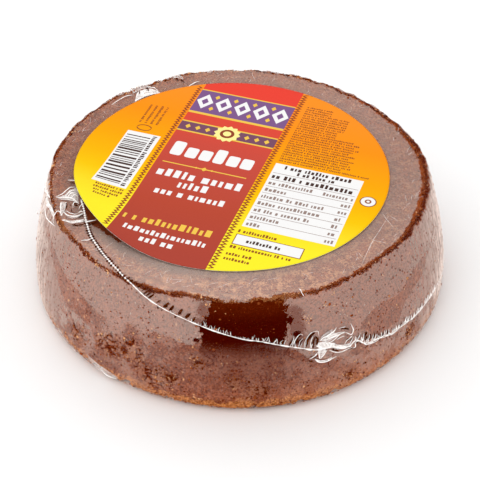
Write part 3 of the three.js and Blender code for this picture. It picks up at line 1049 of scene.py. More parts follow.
# The film's surface: the wrapped form with slight wrinkles, crumpled over the rim, closed under the base.
def makeFilm():
    grid, turn, radius, height = discGrid(film["columns"], *film["rows"])
    lie = lieOf(grid, turn, radius, height)
    crumple = np.abs(uneven(grid, film["crumple"])) * ease(lie["rim"], -1.2, 0.2)
    wrinkle = uneven(grid, film["wrinkle"]) + crumple + lie["ragged"]
    placed = grid + gridNormals(grid) * ((film["lift"] + wrinkle) * mm)[..., None]
    placed[..., 2] = np.maximum(placed[..., 2], 0.0)
    made = makeClosed("shrink_film", placed, (0, 0, 0), (0, 0, placed[-1, :, 2].mean()))
    inside = lie["tall"] - roundDisc(turn, cling["hazeFoot"])
    folds = [betweenLines(turn, lie["tall"], *edges) for edges in cling["folds"]]
    storeLie(made, grid, lie)
    # Painted reflection of the studio: its strength on the wall, under its lower limit and over the top
    # face.
    haze = np.where(lie["onTop"], roundDisc(turn, cling["topHaze"]), roundDisc(turn, cling["wallHaze"]))
    lowHaze = roundDisc(turn, cling["lowHaze"]) * (1 - 0.85 * hump(lie["tall"], 0, 5))
    gleam = roundDisc(turn, cling["gleam"]) * (1 - 0.7 * hump(lie["tall"], 0, 4))
    storeValues(made, gleam=gleam, insideHaze=np.where(lie["onTop"], 9.0, inside), haze=haze,
                fold=np.where(lie["onTop"], -5.0, np.maximum(*folds)), lowHaze=lowHaze)
    return made


# Film: clear, with a white share that is painted reflection of the studio: set by its stored strengths,
# its ragged limit, mottling, bare places, painted glints and the glancing angle. The pores show on it as
# dark specks, where sugar sticks to it.
def filmMaterial():
    material, tree, place = newMaterial("shrink_film")
    lie = placeLie(tree)
    fine, slow = noiseOf(tree, place, *film["fine"]), noiseOf(tree, place, *film["slow"])
    jitter = aboutZero(tree, fine)
    limit = scaled(tree, aboutZero(tree, slow), 3.0, stored(tree, "insideHaze"))
    reached = raggedEdge(tree, jitter, 2.4, limit, -0.2, 0.2)
    patchy = scaled(tree, raggedEdge(tree, jitter, 0.35, slow, 0.46, 0.54), 0.6, 0.7)
    patchy = scaled(tree, stored(tree, "lowHaze"), patchy)
    strength = addNode(tree, "Mix", {0: reached, 2: patchy, 3: stored(tree, "haze")}).outputs[0]
    haze = scaled(tree, strength, scaled(tree, fine, 0.3, 0.85))
    fold = raggedEdge(tree, jitter, 2.6, stored(tree, "fold"), -0.15, 0.2)
    haze = scaled(tree, haze, scaled(tree, fold, -film["foldShade"], 1.0))
    crowded = raggedEdge(tree, jitter, 2.4, stored(tree, "crowd"), 0.3, 0.6)
    damp = raggedEdge(tree, jitter, 1.6, stored(tree, "damp"), 0.15, 0.6)
    partly = [scaled(tree, crowded, film["crowdedBare"]), scaled(tree, damp, film["dampBare"])]
    bare = greatest(tree, lie["Pores"], lie["Pits"], lie["Rim"], *partly)
    # Painted streaks of reflection that run up the wall, at a glancing angle.
    squash = {"Vector": place, "Scale": (1, 1, film["streakSquash"])}
    streak = noiseOf(tree, addNode(tree, "Mapping", squash).outputs[0], *film["streaks"])
    least, added = film["streakGleam"]
    gleam = scaled(tree, easeNode(tree, streak, 0.36, 0.64), added, least)
    gleam = scaled(tree, addNode(tree, "LayerWeight", {"Blend": 0.2}).outputs["Fresnel"], gleam)
    share = scaled(tree, gleam, stored(tree, "gleam"), haze)
    share = scaled(tree, share, scaled(tree, bare, -film["bareShare"], 1.0))
    share = scaled(tree, speckled(tree, place, *film["glints"]), film["glintShare"], share)
    clear = reckon(tree, "SUBTRACT", 1.0, greatest(tree, lie["Wedge"], lie["Wet"]))
    share = clamped(tree, scaled(tree, share, clear), film["most"])
    white = surface(tree, film["colour"], 0.35, bumped(tree, fine, 0.06 * mm, 0.5))
    hazy = overClear(tree, share, white)
    pore = scaled(tree, lie["Pores"], scaled(tree, clear, film["poreShare"]))
    stuck = surface(tree, film["pore"], 0.8, None, matt)
    return endWith(material, addNode(tree, "MixShader", {0: pore, 1: hazy, 2: stuck}).outputs[0])


finishPiece(makeFilm(), filmMaterial(), "wrapped_sugar")

# The welded seam: over the top at the front left, then down round the wall. Places are in mm and degrees.
seam = {
    "topRun": [(-42.4, -13.2), (-41.2, -17.5), (-40.5, -21), (-39.4, -25.2), (-38.3, -28.7),
               (-37, -31.3), (-35.5, -34.1), (-33.6, -37.5), (-31.9, -40.2), (-30.2, -42.3)],
    "wallRun": [(-34.4, 34), (-30.2, 32.7), (-25.2, 30.6), (-19.5, 29), (-13.8, 27.7), (-8.2, 26.3),
                (-3.2, 25), (2, 23.7), (5.8, 23.1), (11, 21.5), (16, 19.8), (19.2, 18.4),
                (22.5, 17.9), (27.2, 16.8), (30, 15.8), (31.4, 16.4), (32.8, 16.2), (35.2, 14.1),
                (38.2, 13.6), (44.2, 12.2), (49.2, 11.6), (55.8, 10.7), (62, 10.6), (68, 10.2),
                (80, 8.6), (95, 6.6), (125, 5)],  # mirrored there
    "step": 0.2,
    "width": [(-60, 0.18), (-40, 0.18), (-33, 0.13), (-28, 0.11), (-20, 0.09), (5, 0.11), (13, 0.12),
              (20, 0.15), (32, 0.15), (38, 0.13), (50, 0.1), (60, 0.07), (67, 0.04), (90, 0.04)],
    "rise": 1.0,  # height as a share of the width
    "rough": (1.5, 2.6, 2, 91),  # size in mm, rise, layers and seed of its uneven width
    "beadPitch": 1.0,
    "beadTurns": (-62, -32),  # where the weld shows as beads
    "sway": (1.6, 0.25, 2, 92),  # size in mm, rise, layers and seed
    "white": (tint(240, 232, 228), tint(255, 254, 252)),
    # painted glow: light given off by the bright film, for the light that it scatters
    "glow": {"Emission Color": (1, 0.97, 0.94, 1), "Emission Strength": 0.2},
    "gap": (tint(50, 12, 2), tint(100, 44, 16)),
    # rows of loose hairs above the seam: turns from and to, spacing, shortest and longest, width, lean
    "hairs": [(-34, -12, 1.6, 0.4, 0.8, 0.05, 0.1), (-12, 12, 0.6, 0.5, 1.8, 0.075, 0.15),
              (12, 20, 1, 1.4, 3, 0.08, 0.4), (31.5, 46, 0.8, 0.8, 2, 0.12, 0.5),
              (46, 68, 0.7, 0.9, 2.1, 0.13, 0.5), (66, 284, 1.6, 0.4, 1.6, 0.08, 0.1)],
    # rows of dark gaps above the seam, partly painted shade: turns from and to, spacing, length, width,
    # how far above, lean
    "gaps": [(-31.5, -27.6, 0.8, 1.6, 0.17, 0.75, 0.8), (-27.4, -23.4, 0.9, 2.6, 0.18, 1.3, 0.9),
             (-22, -10, 2.6, 0.6, 0.2, -0.5, 0.3), (9, 14, 1.5, 1.8, 0.26, 1.2, 0.3),
             (38, 64, 1.2, 1, 0.24, 0.8, 0.4), (13, 46, 2.1, 0.6, 0.18, -0.5, 0.3)],
    "dots": (0.34, 0.3, 0.14),  # half size of the openings beside the beads
    "dotsBeside": 0.42,
    "dotsLift": 0.26,
    "gapsLift": 0.22,
}
seamTurns, seamHeights = smoothLine(seam["wallRun"], 200).T


# Height of the seam on the wall, in mm, mirrored about its lowest turn.
def seamHeight(turn):
    return np.interp(seamTurns[-1] - np.abs(turn - seamTurns[-1]), seamTurns, seamHeights)


# Places on the top face from x, y and lift, in mm.
def onTop(line):
    radius = np.hypot(line[..., 0], line[..., 1]) * mm
    return joined(line[..., 0] * mm, line[..., 1] * mm, topHeight(radius) + line[..., 2] * mm)


# Places on the wall from turn, height and distance out, in degrees and mm.
def onSide(line):
    return onWall(line[..., 0], line[..., 1] * mm, line[..., 2] * mm)


# A line of places at an even step, found along its summed length.
def evenly(line, step):
    length = np.concatenate([[0], np.cumsum(np.linalg.norm(np.diff(line, axis=0), axis=1))])
    at = np.linspace(0, length[-1], int(length[-1] / step))
    return joined(*(np.interp(at, length, part) for part in line.T)), at


# The seam's middle line and its outward directions: a smooth top run, then the wall run round the back.
def seamLine():
    run = smoothLine(seam["topRun"], 90)
    wall = np.arange(seamTurns[0] + 1.5, 2 * seamTurns[-1] - seamTurns[0], 1.0)
    side = onSide(joined(wall, seamHeight(wall), 0))
    top = onTop(np.concatenate([run, run[:, :1] * 0], axis=-1))
    line, at = evenly(np.concatenate([top, side]), seam["step"] * mm)
    flat = line * np.array([1, 1, 0])
    radius = np.hypot(line[:, 0], line[:, 1])
    rising = ease(radius, disc["rimRadius"] - 2.5 * mm, disc["rimRadius"] + 1 * mm)
    out = unit(unit(flat) * rising[:, None] + np.array([0, 0, 1]) * (1 - rising)[:, None])
    return line, out, at


# The weld itself: a narrow uneven ridge, beaded over the top, that sways where film is gathered into it.
def makeSeam():
    line, out, at = seamLine()
    turn = np.degrees(np.arctan2(line[:, 0], -line[:, 1]))
    low, high = seam["beadTurns"]
    beaded = ease(turn, low - 40, low) * ease(turn, high + 6, high)
    bead = 0.5 + 0.5 * np.cos(at / mm * math.tau / seam["beadPitch"])
    rough = 1 + (np.abs(uneven(line, seam["rough"])) - 0.5) * (1 - beaded)
    width = roundDisc(turn, seam["width"]) * mm * (rough + beaded * (1.7 * bead - 0.85))
    sway = uneven(line, seam["sway"]) * mm
    sway = sway * ease(turn, 8, 24) * (1 + ease(turn, 26, 34) * ease(turn, 72, 50))
    line = line + sway[:, None] * np.array([0, 0, 1]) + out * 0.1 * mm
    shape = ridges(line[None], out[None], width[None], seam["rise"] * width[None], 8)
    return makeMany("seam_weld", [shape])


# Turns spread along a row at an uneven spacing.
def unevenRow(low, high, spacing, chance):
    turn = np.arange(low, high, spacing)
    return turn + chance.uniform(-0.35, 0.35, len(turn)) * spacing


# Fine hairs of film that stand above the seam, each a curved tapered ridge that leans a little. Their
# white is partly painted highlight on the gathered film.
def makeHairs():
    chance = np.random.default_rng(5)
    hairs = []
    for low, high, spacing, shortest, longest, width, lean in seam["hairs"]:
        turn = unevenRow(low, high, spacing, chance)
        length = chance.uniform(shortest, longest, len(turn))
        leans = chance.normal(lean, 0.2, len(turn))
        bend = chance.normal(0, 0.15, len(turn)) + 0.4 * leans
        foot = seamHeight(turn)
        widths = width * chance.uniform(0.6, 1.4, len(turn))
        arch = 0.1 + 0.1 * length
        middle = [turn + bend * length, foot + 0.6 * length]
        points = joined(turn, foot, *middle, turn + leans * length, foot + length)
        hairs += list(zip(arch, widths, points.reshape(-1, 3, 2)))
    return makeMany("seam_hairs", [strings(hairs, onSide, 9, foot=0.2)])


# Places, directions and sizes of one row of gaps above the seam.
def gapRow(row, chance):
    low, high, spacing, length, width, above, lean = row
    turn = unevenRow(low, high, spacing, chance)
    height = seamHeight(turn) + above * chance.uniform(0.8, 1.2, len(turn))
    spots = onSide(joined(turn, height, 0))
    higher = onSide(joined(turn + lean, height + 1, 0))
    further = onSide(joined(turn, height, 1))
    own = chance.uniform(0.6, 1.25, (len(turn), 1)) * np.array([length / 2, width, 0.1])
    outward = unit(further - spots)
    return spots + outward * seam["gapsLift"] * mm, outward, unit(higher - spots), own * mm


# Dark openings beside the weld, partly painted shade: dots on both sides where it is beaded, and slots
# between the hairs.
def makeGaps():
    chance = np.random.default_rng(6)
    line, out, at = seamLine()
    turn = np.degrees(np.arctan2(line[:, 0], -line[:, 1]))
    start = int(np.argmax(turn > seam["beadTurns"][0]))
    stop = int(np.argmax(turn > seam["beadTurns"][1]))
    between = np.arange(0.5, at[-1] / mm / seam["beadPitch"]) * seam["beadPitch"] * mm
    picked = np.searchsorted(at, between)
    picked = picked[(picked > start) & (picked < stop)]
    along = unit(np.gradient(line, axis=0))[picked]
    across = unit(np.cross(along, out[picked]))
    beside = across * seam["dotsBeside"] * mm
    places = np.concatenate([line[picked] + beside, line[picked] - beside])
    outward = np.concatenate([out[picked]] * 2)
    sizes = np.tile(seam["dots"], (len(places), 1)) * chance.uniform(0.7, 1.25, (len(places), 1)) * mm
    places = places + outward * seam["dotsLift"] * mm
    rows = [(places, outward, np.concatenate([across + along * 0.4] * 2), sizes)]
    rows += [gapRow(row, chance) for row in seam["gaps"]]
    return makeMany("seam_gaps", [lumps(*row, 97, 3, 8) for row in rows])


# Ends a material in crumpled white film that light comes through, with a painted glow, over as large a
# share as is given.
def endInFilm(material, fine, share, roughness, relief):
    tree = material.node_tree
    normal = bumped(tree, fine, *relief)
    white = surface(tree, mixColours(tree, fine, *seam["white"]), roughness, normal, seam["glow"])
    return endWith(material, overClear(tree, clamped(tree, share), white))


# White film: its share goes from least to most by noise, and up with the glancing angle.
def whiteFilmMaterial(name, least, most):
    material, tree, place = newMaterial(name)
    fine = noiseOf(tree, place, 0.7 * mm, 3, 0.65)
    glance = addNode(tree, "LayerWeight", {"Blend": 0.35}).outputs["Facing"]
    share = scaled(tree, easeNode(tree, fine, 0.3, 0.7), most - least, least)
    return endInFilm(material, fine, scaled(tree, glance, 0.3, share), 0.25, (0.1 * mm, 0.6))


# Dark gaps and painted shade: bare sugar seen through an opening, and shade in the film's creases, browner
# where noise lightens it.
def gapMaterial():
    material, tree, place = newMaterial("seam_gap")
    colour = twoColours(tree, noiseOf(tree, place, 0.5 * mm), 0.35, 0.75, seam["gap"])
    return endWith(material, surface(tree, colour, 0.6, None, matt))


gapSugar = gapMaterial()
finishPiece(makeSeam(), whiteFilmMaterial("weld_film", 0.9, 1.0), "wrapped_sugar")
finishPiece(makeHairs(), whiteFilmMaterial("hair_film", 0.4, 0.95), "wrapped_sugar")
finishPiece(makeGaps(), gapSugar, "wrapped_sugar")

# Gathered tufts of film. Strings and shades are (arch, half width, points), and sheets are (arch, cover,
# points of the left edge, points of the right edge) as they run. Points are (turn, height) on the wall and
# (x, y) on the top face, in degrees and mm. The white strings are partly painted highlights on the
# folds, and the shades are painted shade.
tufts = {
    "sheetGrid": (28, 10),  # steps along each sheet and cells across it
    "scratchSeed": 8,
    "scratches": 130,
    "scratchRing": (45.5, 50.5),
    "scratchLimit": 51.4,
    "scratchFromPaper": 0.6,
    "scratchLean": 60,  # which way most of them run, in degrees
    "scratchLength": (0.4, 1.9),  # half of it
    "sideStrings": [
        (1.2, 0.2, [(21.2, 20.4), (22.2, 21.8), (23.5, 22.4), (25.2, 22.7), (26.6, 22.8)]),
        (1.1, 0.18, [(22, 20.4), (23.8, 21), (25.5, 21.4), (27, 21.1), (29, 20.5)]),
        (0.8, 0.15, [(29, 20.5), (30.3, 19.8), (31.1, 20.9), (30.8, 22.4)]),
        (0.4, 0.1, [(27, 22.2), (28, 22.4), (29.2, 21.9)]),
        (0.9, 0.12, [(22.6, 19.6), (24.2, 20), (25.8, 20.5), (27.4, 20.5)]),
        (0.7, 0.1, [(26.2, 19.2), (26.8, 20), (27.8, 20), (28.6, 19.3)]),
        (0.2, 0.12, [(20.9, 18.2), (21, 16.7), (21.2, 15.2)]),
        (0.2, 0.12, [(23.4, 17.6), (22.3, 16.3), (21.3, 15.2)]),
        (0.3, 0.15, [(19.7, 15.7), (20.4, 14.9), (21.4, 14.3), (23, 14.1), (24.6, 14.4), (26.2, 14.5)]),
        (0.4, 0.14, [(18.4, 16), (19.7, 16.9), (20.8, 17.5)]),
        (0.6, 0.2, [(25, 17.9), (26.6, 17.1), (28.2, 16.4), (29.8, 16)]),
        (0.5, 0.13, [(23.8, 17.1), (25.2, 16.2), (27.2, 15.6), (29.2, 15.6), (31, 15.1)]),
        (0.5, 0.14, [(30.8, 14.9), (31.4, 15.4), (31.6, 16.4)]),
        (0.6, 0.12, [(28.3, 16.8), (28.9, 18.3), (30.1, 18.8), (31.2, 18.5)]),
        (0.5, 0.09, [(29.6, 16.4), (30.2, 17.6), (31.4, 18.2)]),
        (0.6, 0.12, [(31.9, 16.4), (32.4, 17.6), (33.6, 18.3)]),
        (0.6, 0.12, [(33.6, 15.4), (34, 16.8), (34.7, 17.7)]),
        (0.5, 0.11, [(35.2, 14.3), (35.8, 15.6), (36.6, 16.4)]),
        (0.5, 0.11, [(36.7, 14), (37.1, 15.2), (37.9, 15.9)]),
        (0.3, 0.15, [(31.5, 16.2), (32.8, 16.3), (33.9, 15.4), (35.2, 14), (36.6, 13.9)]),
        (0.3, 0.14, [(35.2, 13.9), (36.6, 13.7), (38.2, 13.3), (40, 13.4)]),
        (0.3, 0.12, [(40, 13.2), (42.5, 12.8), (45, 12.1), (48, 11.8)]),
        (0.5, 0.08, [(17, 19.6), (17.4, 21.8), (19, 23.8), (20.9, 23.6), (21.4, 21.6)]),
        (0.4, 0.09, [(18.7, 19.2), (18.9, 21.2), (19.7, 22.5)]),
        (0.4, 0.08, [(14, 20.6), (14.6, 22.4), (16, 23.9), (17.2, 23.2)]),
        (0.4, 0.07, [(15.6, 20.2), (16, 21.9), (16.9, 22.6)]),
    ],
    "sideSheets": [
        (0.6, 0.95, [(20.5, 20), (22, 20), (24.2, 19.1), (25.7, 18.4)],
         [(20.4, 19.2), (22, 18), (24.2, 17.6), (25.6, 17.2)]),
        (0.6, 0.5, [(22, 20.4), (23.8, 21.1), (25.5, 21.4), (27, 21.1), (29, 20.5)],
         [(22.4, 19.3), (24.2, 19.6), (25.5, 20), (27, 20.3), (29, 20.2)]),
        (0.6, 0.28, [(21.3, 20.6), (22.3, 21.8), (23.6, 22.3), (25.2, 22.6)],
         [(22, 20.2), (23.6, 20.8), (24.8, 21.2), (26, 21.4)]),
        (0.2, 0.5, [(23.4, 17.6), (22.3, 16.3), (21.3, 15.2)],
         [(20.9, 18), (21, 16.7), (21.2, 15.2)]),
        (0.3, 0.7, [(20.1, 15.6), (20.9, 15), (21.8, 14.6), (23.2, 14.4), (24.6, 14.6)],
         [(19.9, 15.4), (20.6, 14.6), (21.5, 14), (23.1, 13.8), (24.7, 14.3)]),
        (0.5, 0.45, [(25.2, 18.5), (26.8, 17.6), (28.6, 16.9), (30.6, 16.6)],
         [(25, 17.2), (26.6, 16.3), (28.6, 15.7), (30.6, 15.6)]),
        (0.7, 0.8, [(-80.5, 32.3), (-76.2, 33), (-71.8, 34), (-68.2, 33.9)],
         [(-80.6, 31.4), (-76.4, 31.6), (-72.4, 32.6), (-68.3, 32.6)]),
        (0.5, 0.24, [(-43, 5), (-39.5, 4.4), (-36, 4), (-32.5, 3.2)],
         [(-42.5, 3.6), (-39, 2.2), (-36, 1.6), (-32.6, 2.2)]),
    ],
    "sideShades": [
        (0.1, 0.42, [(17.5, 19.6), (18.1, 21.4), (19.4, 22.9), (20.4, 23.2)]),
        (0.1, 0.34, [(19.5, 18.9), (19.7, 20.6), (20.4, 22)]),
        (0.1, 0.3, [(20.4, 22.2), (20.9, 21), (20.6, 19.4)]),
        (0.1, 0.24, [(14.4, 20.4), (14.9, 21.7), (15.5, 22.9), (16.6, 23.4)]),
        (0.1, 0.2, [(15.9, 20.2), (16.2, 21.4), (16.9, 22)]),
        (0.1, 0.22, [(13.1, 20.9), (13.7, 22.1), (14.3, 23)]),
        (0.1, 0.22, [(22, 20.8), (23.7, 21.6), (25.2, 21.9)]),
        (0.1, 0.22, [(27.6, 21.7), (28.6, 21.6), (29.7, 21.2), (30.2, 20.6)]),
        (0.1, 0.22, [(18.6, 16.7), (19.6, 16.3), (20.6, 15.6)]),
        (0.1, 0.2, [(18, 15.6), (18.8, 15.3), (19.4, 15.1)]),
        (0.1, 0.24, [(29, 17.4), (29.8, 18.1), (30.6, 18.2)]),
        (0.1, 0.18, [(30.2, 17), (30.8, 17.6), (31.4, 17.8)]),
        (0.1, 0.18, [(24.8, 16.8), (25.8, 16.3), (26.8, 15.9)]),
        (0.1, 0.16, [(29, 15.1), (30.2, 15.1), (31, 14.6)]),
        (0.1, 0.3, [(32.3, 16.5), (32.9, 17.1), (33.5, 17.7)]),
        (0.1, 0.36, [(34.2, 15.8), (35, 16.8), (35.8, 17.7)]),
        (0.1, 0.3, [(35, 15.1), (35.5, 15.8), (36, 16.4)]),
        (0.1, 0.36, [(36.3, 14.7), (36.7, 15.6), (37, 16.3)]),
        (0.1, 0.34, [(37.6, 14.4), (38, 15.1), (38.4, 15.9)]),
        (0.1, 0.28, [(39.3, 14), (39.7, 14.5), (40.2, 15)]),
        (0.1, 0.26, [(41, 13.6), (41.3, 14), (41.7, 14.5)]),
        (0.1, 0.22, [(42.6, 13.2), (43, 13.7), (43.4, 14.2)]),
        (0.1, 0.18, [(-22, 29.9), (-21.4, 30.6), (-20.8, 31.1)]),
        (0.1, 0.36, [(-19.8, 29.5), (-19.1, 30.2), (-18.5, 31.2)]),
        (0.1, 0.34, [(-18.1, 29), (-17.5, 29.9), (-16.9, 30.7)]),
        (0.1, 0.42, [(-15.6, 28.5), (-15.1, 29.5), (-14.5, 30.4)]),
        (0.1, 0.36, [(-13.7, 28.1), (-13.1, 28.8), (-12.2, 29.5)]),
        (0.1, 0.3, [(-11.7, 27.4), (-11.4, 28), (-11.1, 28.8)]),
        (0.1, 0.22, [(-9.2, 27), (-9, 27.6), (-8.8, 28.2)]),
    ],
    "rimStrings": [
        (0.6, 0.22, [(-76.6, 31.8), (-74.6, 30.6), (-71.8, 30.4), (-68.5, 31.2), (-64.8, 32)]),
        (0.4, 0.12, [(-86, 30.2), (-86.2, 32), (-84.6, 33.6)]),
        (0.4, 0.1, [(-82.6, 31), (-82.8, 32.4), (-81.4, 33.6)]),
        (0.4, 0.14, [(-68, 33.9), (-66.9, 32.9), (-66.3, 31.8)]),
        (0.4, 0.12, [(-79.4, 31.4), (-77.4, 30), (-75.6, 29)]),
    ],
    "topStrings": [
        (1.2, 0.15, [(-49.3, -12.6), (-46.9, -11.4), (-45.6, -9.3), (-43.7, -7.9)]),
        (1.1, 0.17, [(-49.3, -12.8), (-46.6, -13.7), (-44.4, -14.2), (-42.9, -15)]),
        (1.3, 0.14, [(-47, -12.6), (-45.2, -11.2), (-44, -9.6)]),
        (1.3, 0.18, [(-46.4, -13.2), (-45, -12.2), (-43.6, -11)]),
        (1.2, 0.16, [(-45.2, -13.6), (-44, -12.6), (-43.2, -12.8)]),
        (0.8, 0.14, [(-47.5, -14.5), (-47.4, -17), (-47, -20.9)]),
        (0.5, 0.16, [(-46.6, -21.2), (-47, -20.3), (-47.9, -19.7), (-48.7, -20.2), (-49, -21.4)]),
        (0.8, 0.13, [(-44.3, -17), (-43.9, -15.5), (-42.4, -15.2)]),
        (0.5, 0.2, [(-46.6, -18.9), (-45.3, -20.6), (-43.7, -21.3), (-42.2, -20.7), (-41.2, -19.1)]),
        (0.5, 0.1, [(-45.9, -18), (-44.9, -19.7), (-43.6, -20.2), (-42.4, -19.6)]),
        (0.5, 0.13, [(-42.6, -19.4), (-41.8, -19), (-41, -19.1)]),
        (0.8, 0.15, [(-42.6, -17.6), (-41.8, -16.4), (-41.2, -15.4)]),
        (0.4, 0.18, [(-40.7, -22.5), (-39.9, -23.1), (-38.7, -22.9), (-37.4, -21.9)]),
        (0.3, 0.17, [(-40.6, -31.3), (-39.2, -30.9), (-38, -29.8)]),
        (0.2, 0.13, [(-46.9, -4.7), (-45.6, -5), (-44.2, -4.8)]),
        (0.3, 0.14, [(-38.1, 32), (-35.8, 34.8), (-33.7, 36.9), (-31.4, 38)]),
        (0.5, 0.12, [(-33, 39.9), (-31.4, 41.2), (-29.6, 42.2), (-27.6, 42.6)]),
        (0.7, 0.16, [(-31, 36), (-30.2, 38.6), (-28.9, 40.4)]),
        (0.8, 0.18, [(-29.2, 36.6), (-28.3, 38.6), (-26.4, 39.4)]),
        (0.8, 0.14, [(-27.4, 41.2), (-25.9, 40.9), (-24.3, 39.9)]),
        (0.6, 0.12, [(-31.4, 40.9), (-30.6, 41.6), (-29.6, 41.4)]),
        (0.3, 0.12, [(-22.6, 46.9), (-21, 47.6), (-19.3, 48.1), (-17.6, 47.6)]),
        (0.3, 0.1, [(-20.6, 46.4), (-19.4, 46.9), (-18.2, 46.9)]),
        (0.3, 0.15, [(-15.6, 42.7), (-13.9, 44.5), (-12.2, 45.9)]),
        (0.1, 0.036, [(31.3, -39.3), (32.9, -35.1), (34.8, -29.8), (37.3, -24.4), (40.4, -17.9)]),
        (0.1, 0.03, [(38.2, -17), (39.4, -20.5), (41.2, -24)]),
        (0.1, 0.03, [(33.6, -27.6), (36, -29.4), (38.9, -30.2)]),
        (0.2, 0.12, [(15.2, -48.8), (15.9, -49.9), (16.6, -51.2)]),
    ],
    "topSheets": [
        (1.1, 0.5, [(-49.3, -12.6), (-46.9, -11.4), (-45.6, -9.3), (-43.7, -7.9)],
         [(-49.2, -12.9), (-46.6, -13.7), (-44.4, -14.2), (-42.9, -15)]),
        (0.7, 0.55, [(-46.1, -14.4), (-46.2, -17.3), (-46.6, -20.6)],
         [(-47.5, -14.2), (-47.4, -17), (-47, -20.9)]),
        (0.4, 0.3, [(-46.4, -18.5), (-45.1, -19.9), (-43.6, -20.4), (-42.2, -19.7), (-41.2, -18.9)],
         [(-46.6, -18.9), (-45.3, -20.7), (-43.7, -21.5), (-42.1, -20.8), (-41.2, -19.2)]),
        (0.45, 0.7, [(-46.4, -22.5), (-44.2, -22.5), (-42.5, -22.2), (-40.8, -21.6)],
         [(-46.4, -22.9), (-44.2, -23.6), (-42.5, -23.3), (-40.7, -22.7)]),
        (0.7, 0.85, [(-31, 36.3), (-30.2, 39.2), (-28.8, 40.7), (-26.4, 41.2), (-24.1, 39.8)],
         [(-31.2, 34.4), (-29.4, 36.1), (-27.7, 37.4), (-25.7, 38.5), (-23.8, 39.4)]),
        (0.4, 0.35, [(-32.7, 40.7), (-31.2, 41.9), (-29.8, 42.8), (-28.3, 42.6), (-26.8, 42.6)],
         [(-31.9, 38.7), (-30.5, 39.9), (-29.4, 40.9), (-27.9, 41.6), (-26.8, 42.3)]),
        (0.3, 0.35, [(-22.6, 47.3), (-21, 47.9), (-19.3, 48.3), (-17.4, 47.8)],
         [(-22.6, 46.8), (-21, 47), (-19.2, 47.4), (-17.3, 46.9)]),
    ],
    "topShades": [
        (0.1, 0.26, [(-43.9, -24.1), (-42.1, -24.4), (-40.4, -23.8)]),
        (0.1, 0.2, [(-39.8, -23.8), (-38.5, -23.6), (-37.4, -22.7)]),
        (0.1, 0.28, [(-44.5, -14.9), (-43.9, -15), (-43.1, -15.4)]),
        (0.1, 0.2, [(-43.9, -16.2), (-43.5, -16), (-43.1, -16)]),
        (0.1, 0.12, [(-44.6, -17.4), (-44.4, -18.6), (-43.5, -19.4)]),
        (0.1, 0.13, [(-40.4, -30.7), (-39.8, -30.5), (-39.1, -30.1)]),
        (0.1, 0.16, [(-42.6, -21.3), (-41.6, -20.4), (-40.8, -20.4)]),
        (0.1, 0.16, [(-46.2, -14.8), (-46, -16), (-46.1, -17.2)]),
        (1, 0.26, [(-28.2, 40.9), (-27.8, 40.4), (-27.2, 39.9)]),
        (0.8, 0.2, [(-30.4, 39.6), (-30.1, 38.9), (-29.9, 38.2)]),
        (0.3, 0.26, [(-19.5, 46.9), (-19.1, 46.5), (-18.8, 46.1)]),
        (0.3, 0.26, [(-18.2, 46.6), (-17.6, 45.9), (-17, 45.1)]),
        (0.1, 0.12, [(-46.4, -5.9), (-45.4, -6), (-44.4, -5.8)]),
    ],
    "flaps": [
        (0.4, 0.16, [(-38.6, 3.2), (-35.8, 1.8), (-32.9, 2)]),
        (0.5, 0.1, [(-37.4, 2.4), (-36, 1.3), (-34.4, 1.5)]),
        (0.8, 0.26, [(-88, 21.6), (-87.6, 20.6), (-88.2, 19.4)]),
        (0.8, 0.25, [(118, 8), (121, 7.2), (124, 9)]),
        (0.9, 0.3, [(201, 27), (203, 29), (206, 28)]),
    ],
}


# Creased sheets: slabs between two smooth edges, raised in the middle and crumpled by ridged noise. The
# cover of each place, for its material, is the sheet's own, higher on the creases and along the edges.
def makeSheets(name, groups):
    sets, covers = [], []
    steps, cells = tufts["sheetGrid"]
    along, across = np.meshgrid(np.linspace(0, 1, steps), np.linspace(0, 1, cells + 1), indexing="ij")
    for listed, toPlace in groups:
        left, right = (np.stack([smoothLine(sheet[side], steps) for sheet in listed]) for side in (2, 3))
        places = left[:, :, None] * (1 - across[..., None]) + right[:, :, None] * across[..., None]
        places = np.concatenate([places, places[..., :1] * 0], axis=-1)
        crease = 1 - np.clip(np.abs(layeredNoise(places, 1.5, 2, 98)) * 5, 0, 1)
        arch = np.array([sheet[0] for sheet in listed])[:, None, None]
        bulge = np.sin(math.pi * along) * (0.4 + 0.6 * np.sin(math.pi * across))
        lift = 0.15 + arch * bulge * (0.6 + 0.6 * crease)
        sets.append(slabs(left, right, cells, toPlace, lift, 0.05))
        own = np.array([sheet[1] for sheet in listed])[:, None, None]
        cover = own * (0.45 + 0.55 * crease + 0.4 * np.abs(across * 2 - 1) ** 3)
        both = np.concatenate([cover, cover[:, :, ::-1]], axis=2).reshape(len(listed), -1)
        covers.append(np.concatenate([both[:, :1], both, both[:, -1:]], axis=1).ravel())
    made = makeMany(name, sets)
    storeValues(made, cover=np.concatenate(covers))
    return made


# Sheet film: white as far as its stored cover and fine noise make it, and clear for the rest.
def sheetMaterial():
    material, tree, place = newMaterial("sheet_film")
    fine = noiseOf(tree, place, 0.6 * mm, 3, 0.65)
    share = scaled(tree, stored(tree, "cover"), scaled(tree, fine, 1.5, 0.25))
    return endInFilm(material, fine, share, 0.3, (0.15 * mm, 0.7))


# Thin strings on the wall and over the top face, as one piece.
def makeTuftLines(name, side, top, flatness, foot):
    listed = [(side, onSide), (top, onTop)]
    return makeMany(name, [strings(*part, flatness=flatness, foot=foot) for part in listed if part[0]])


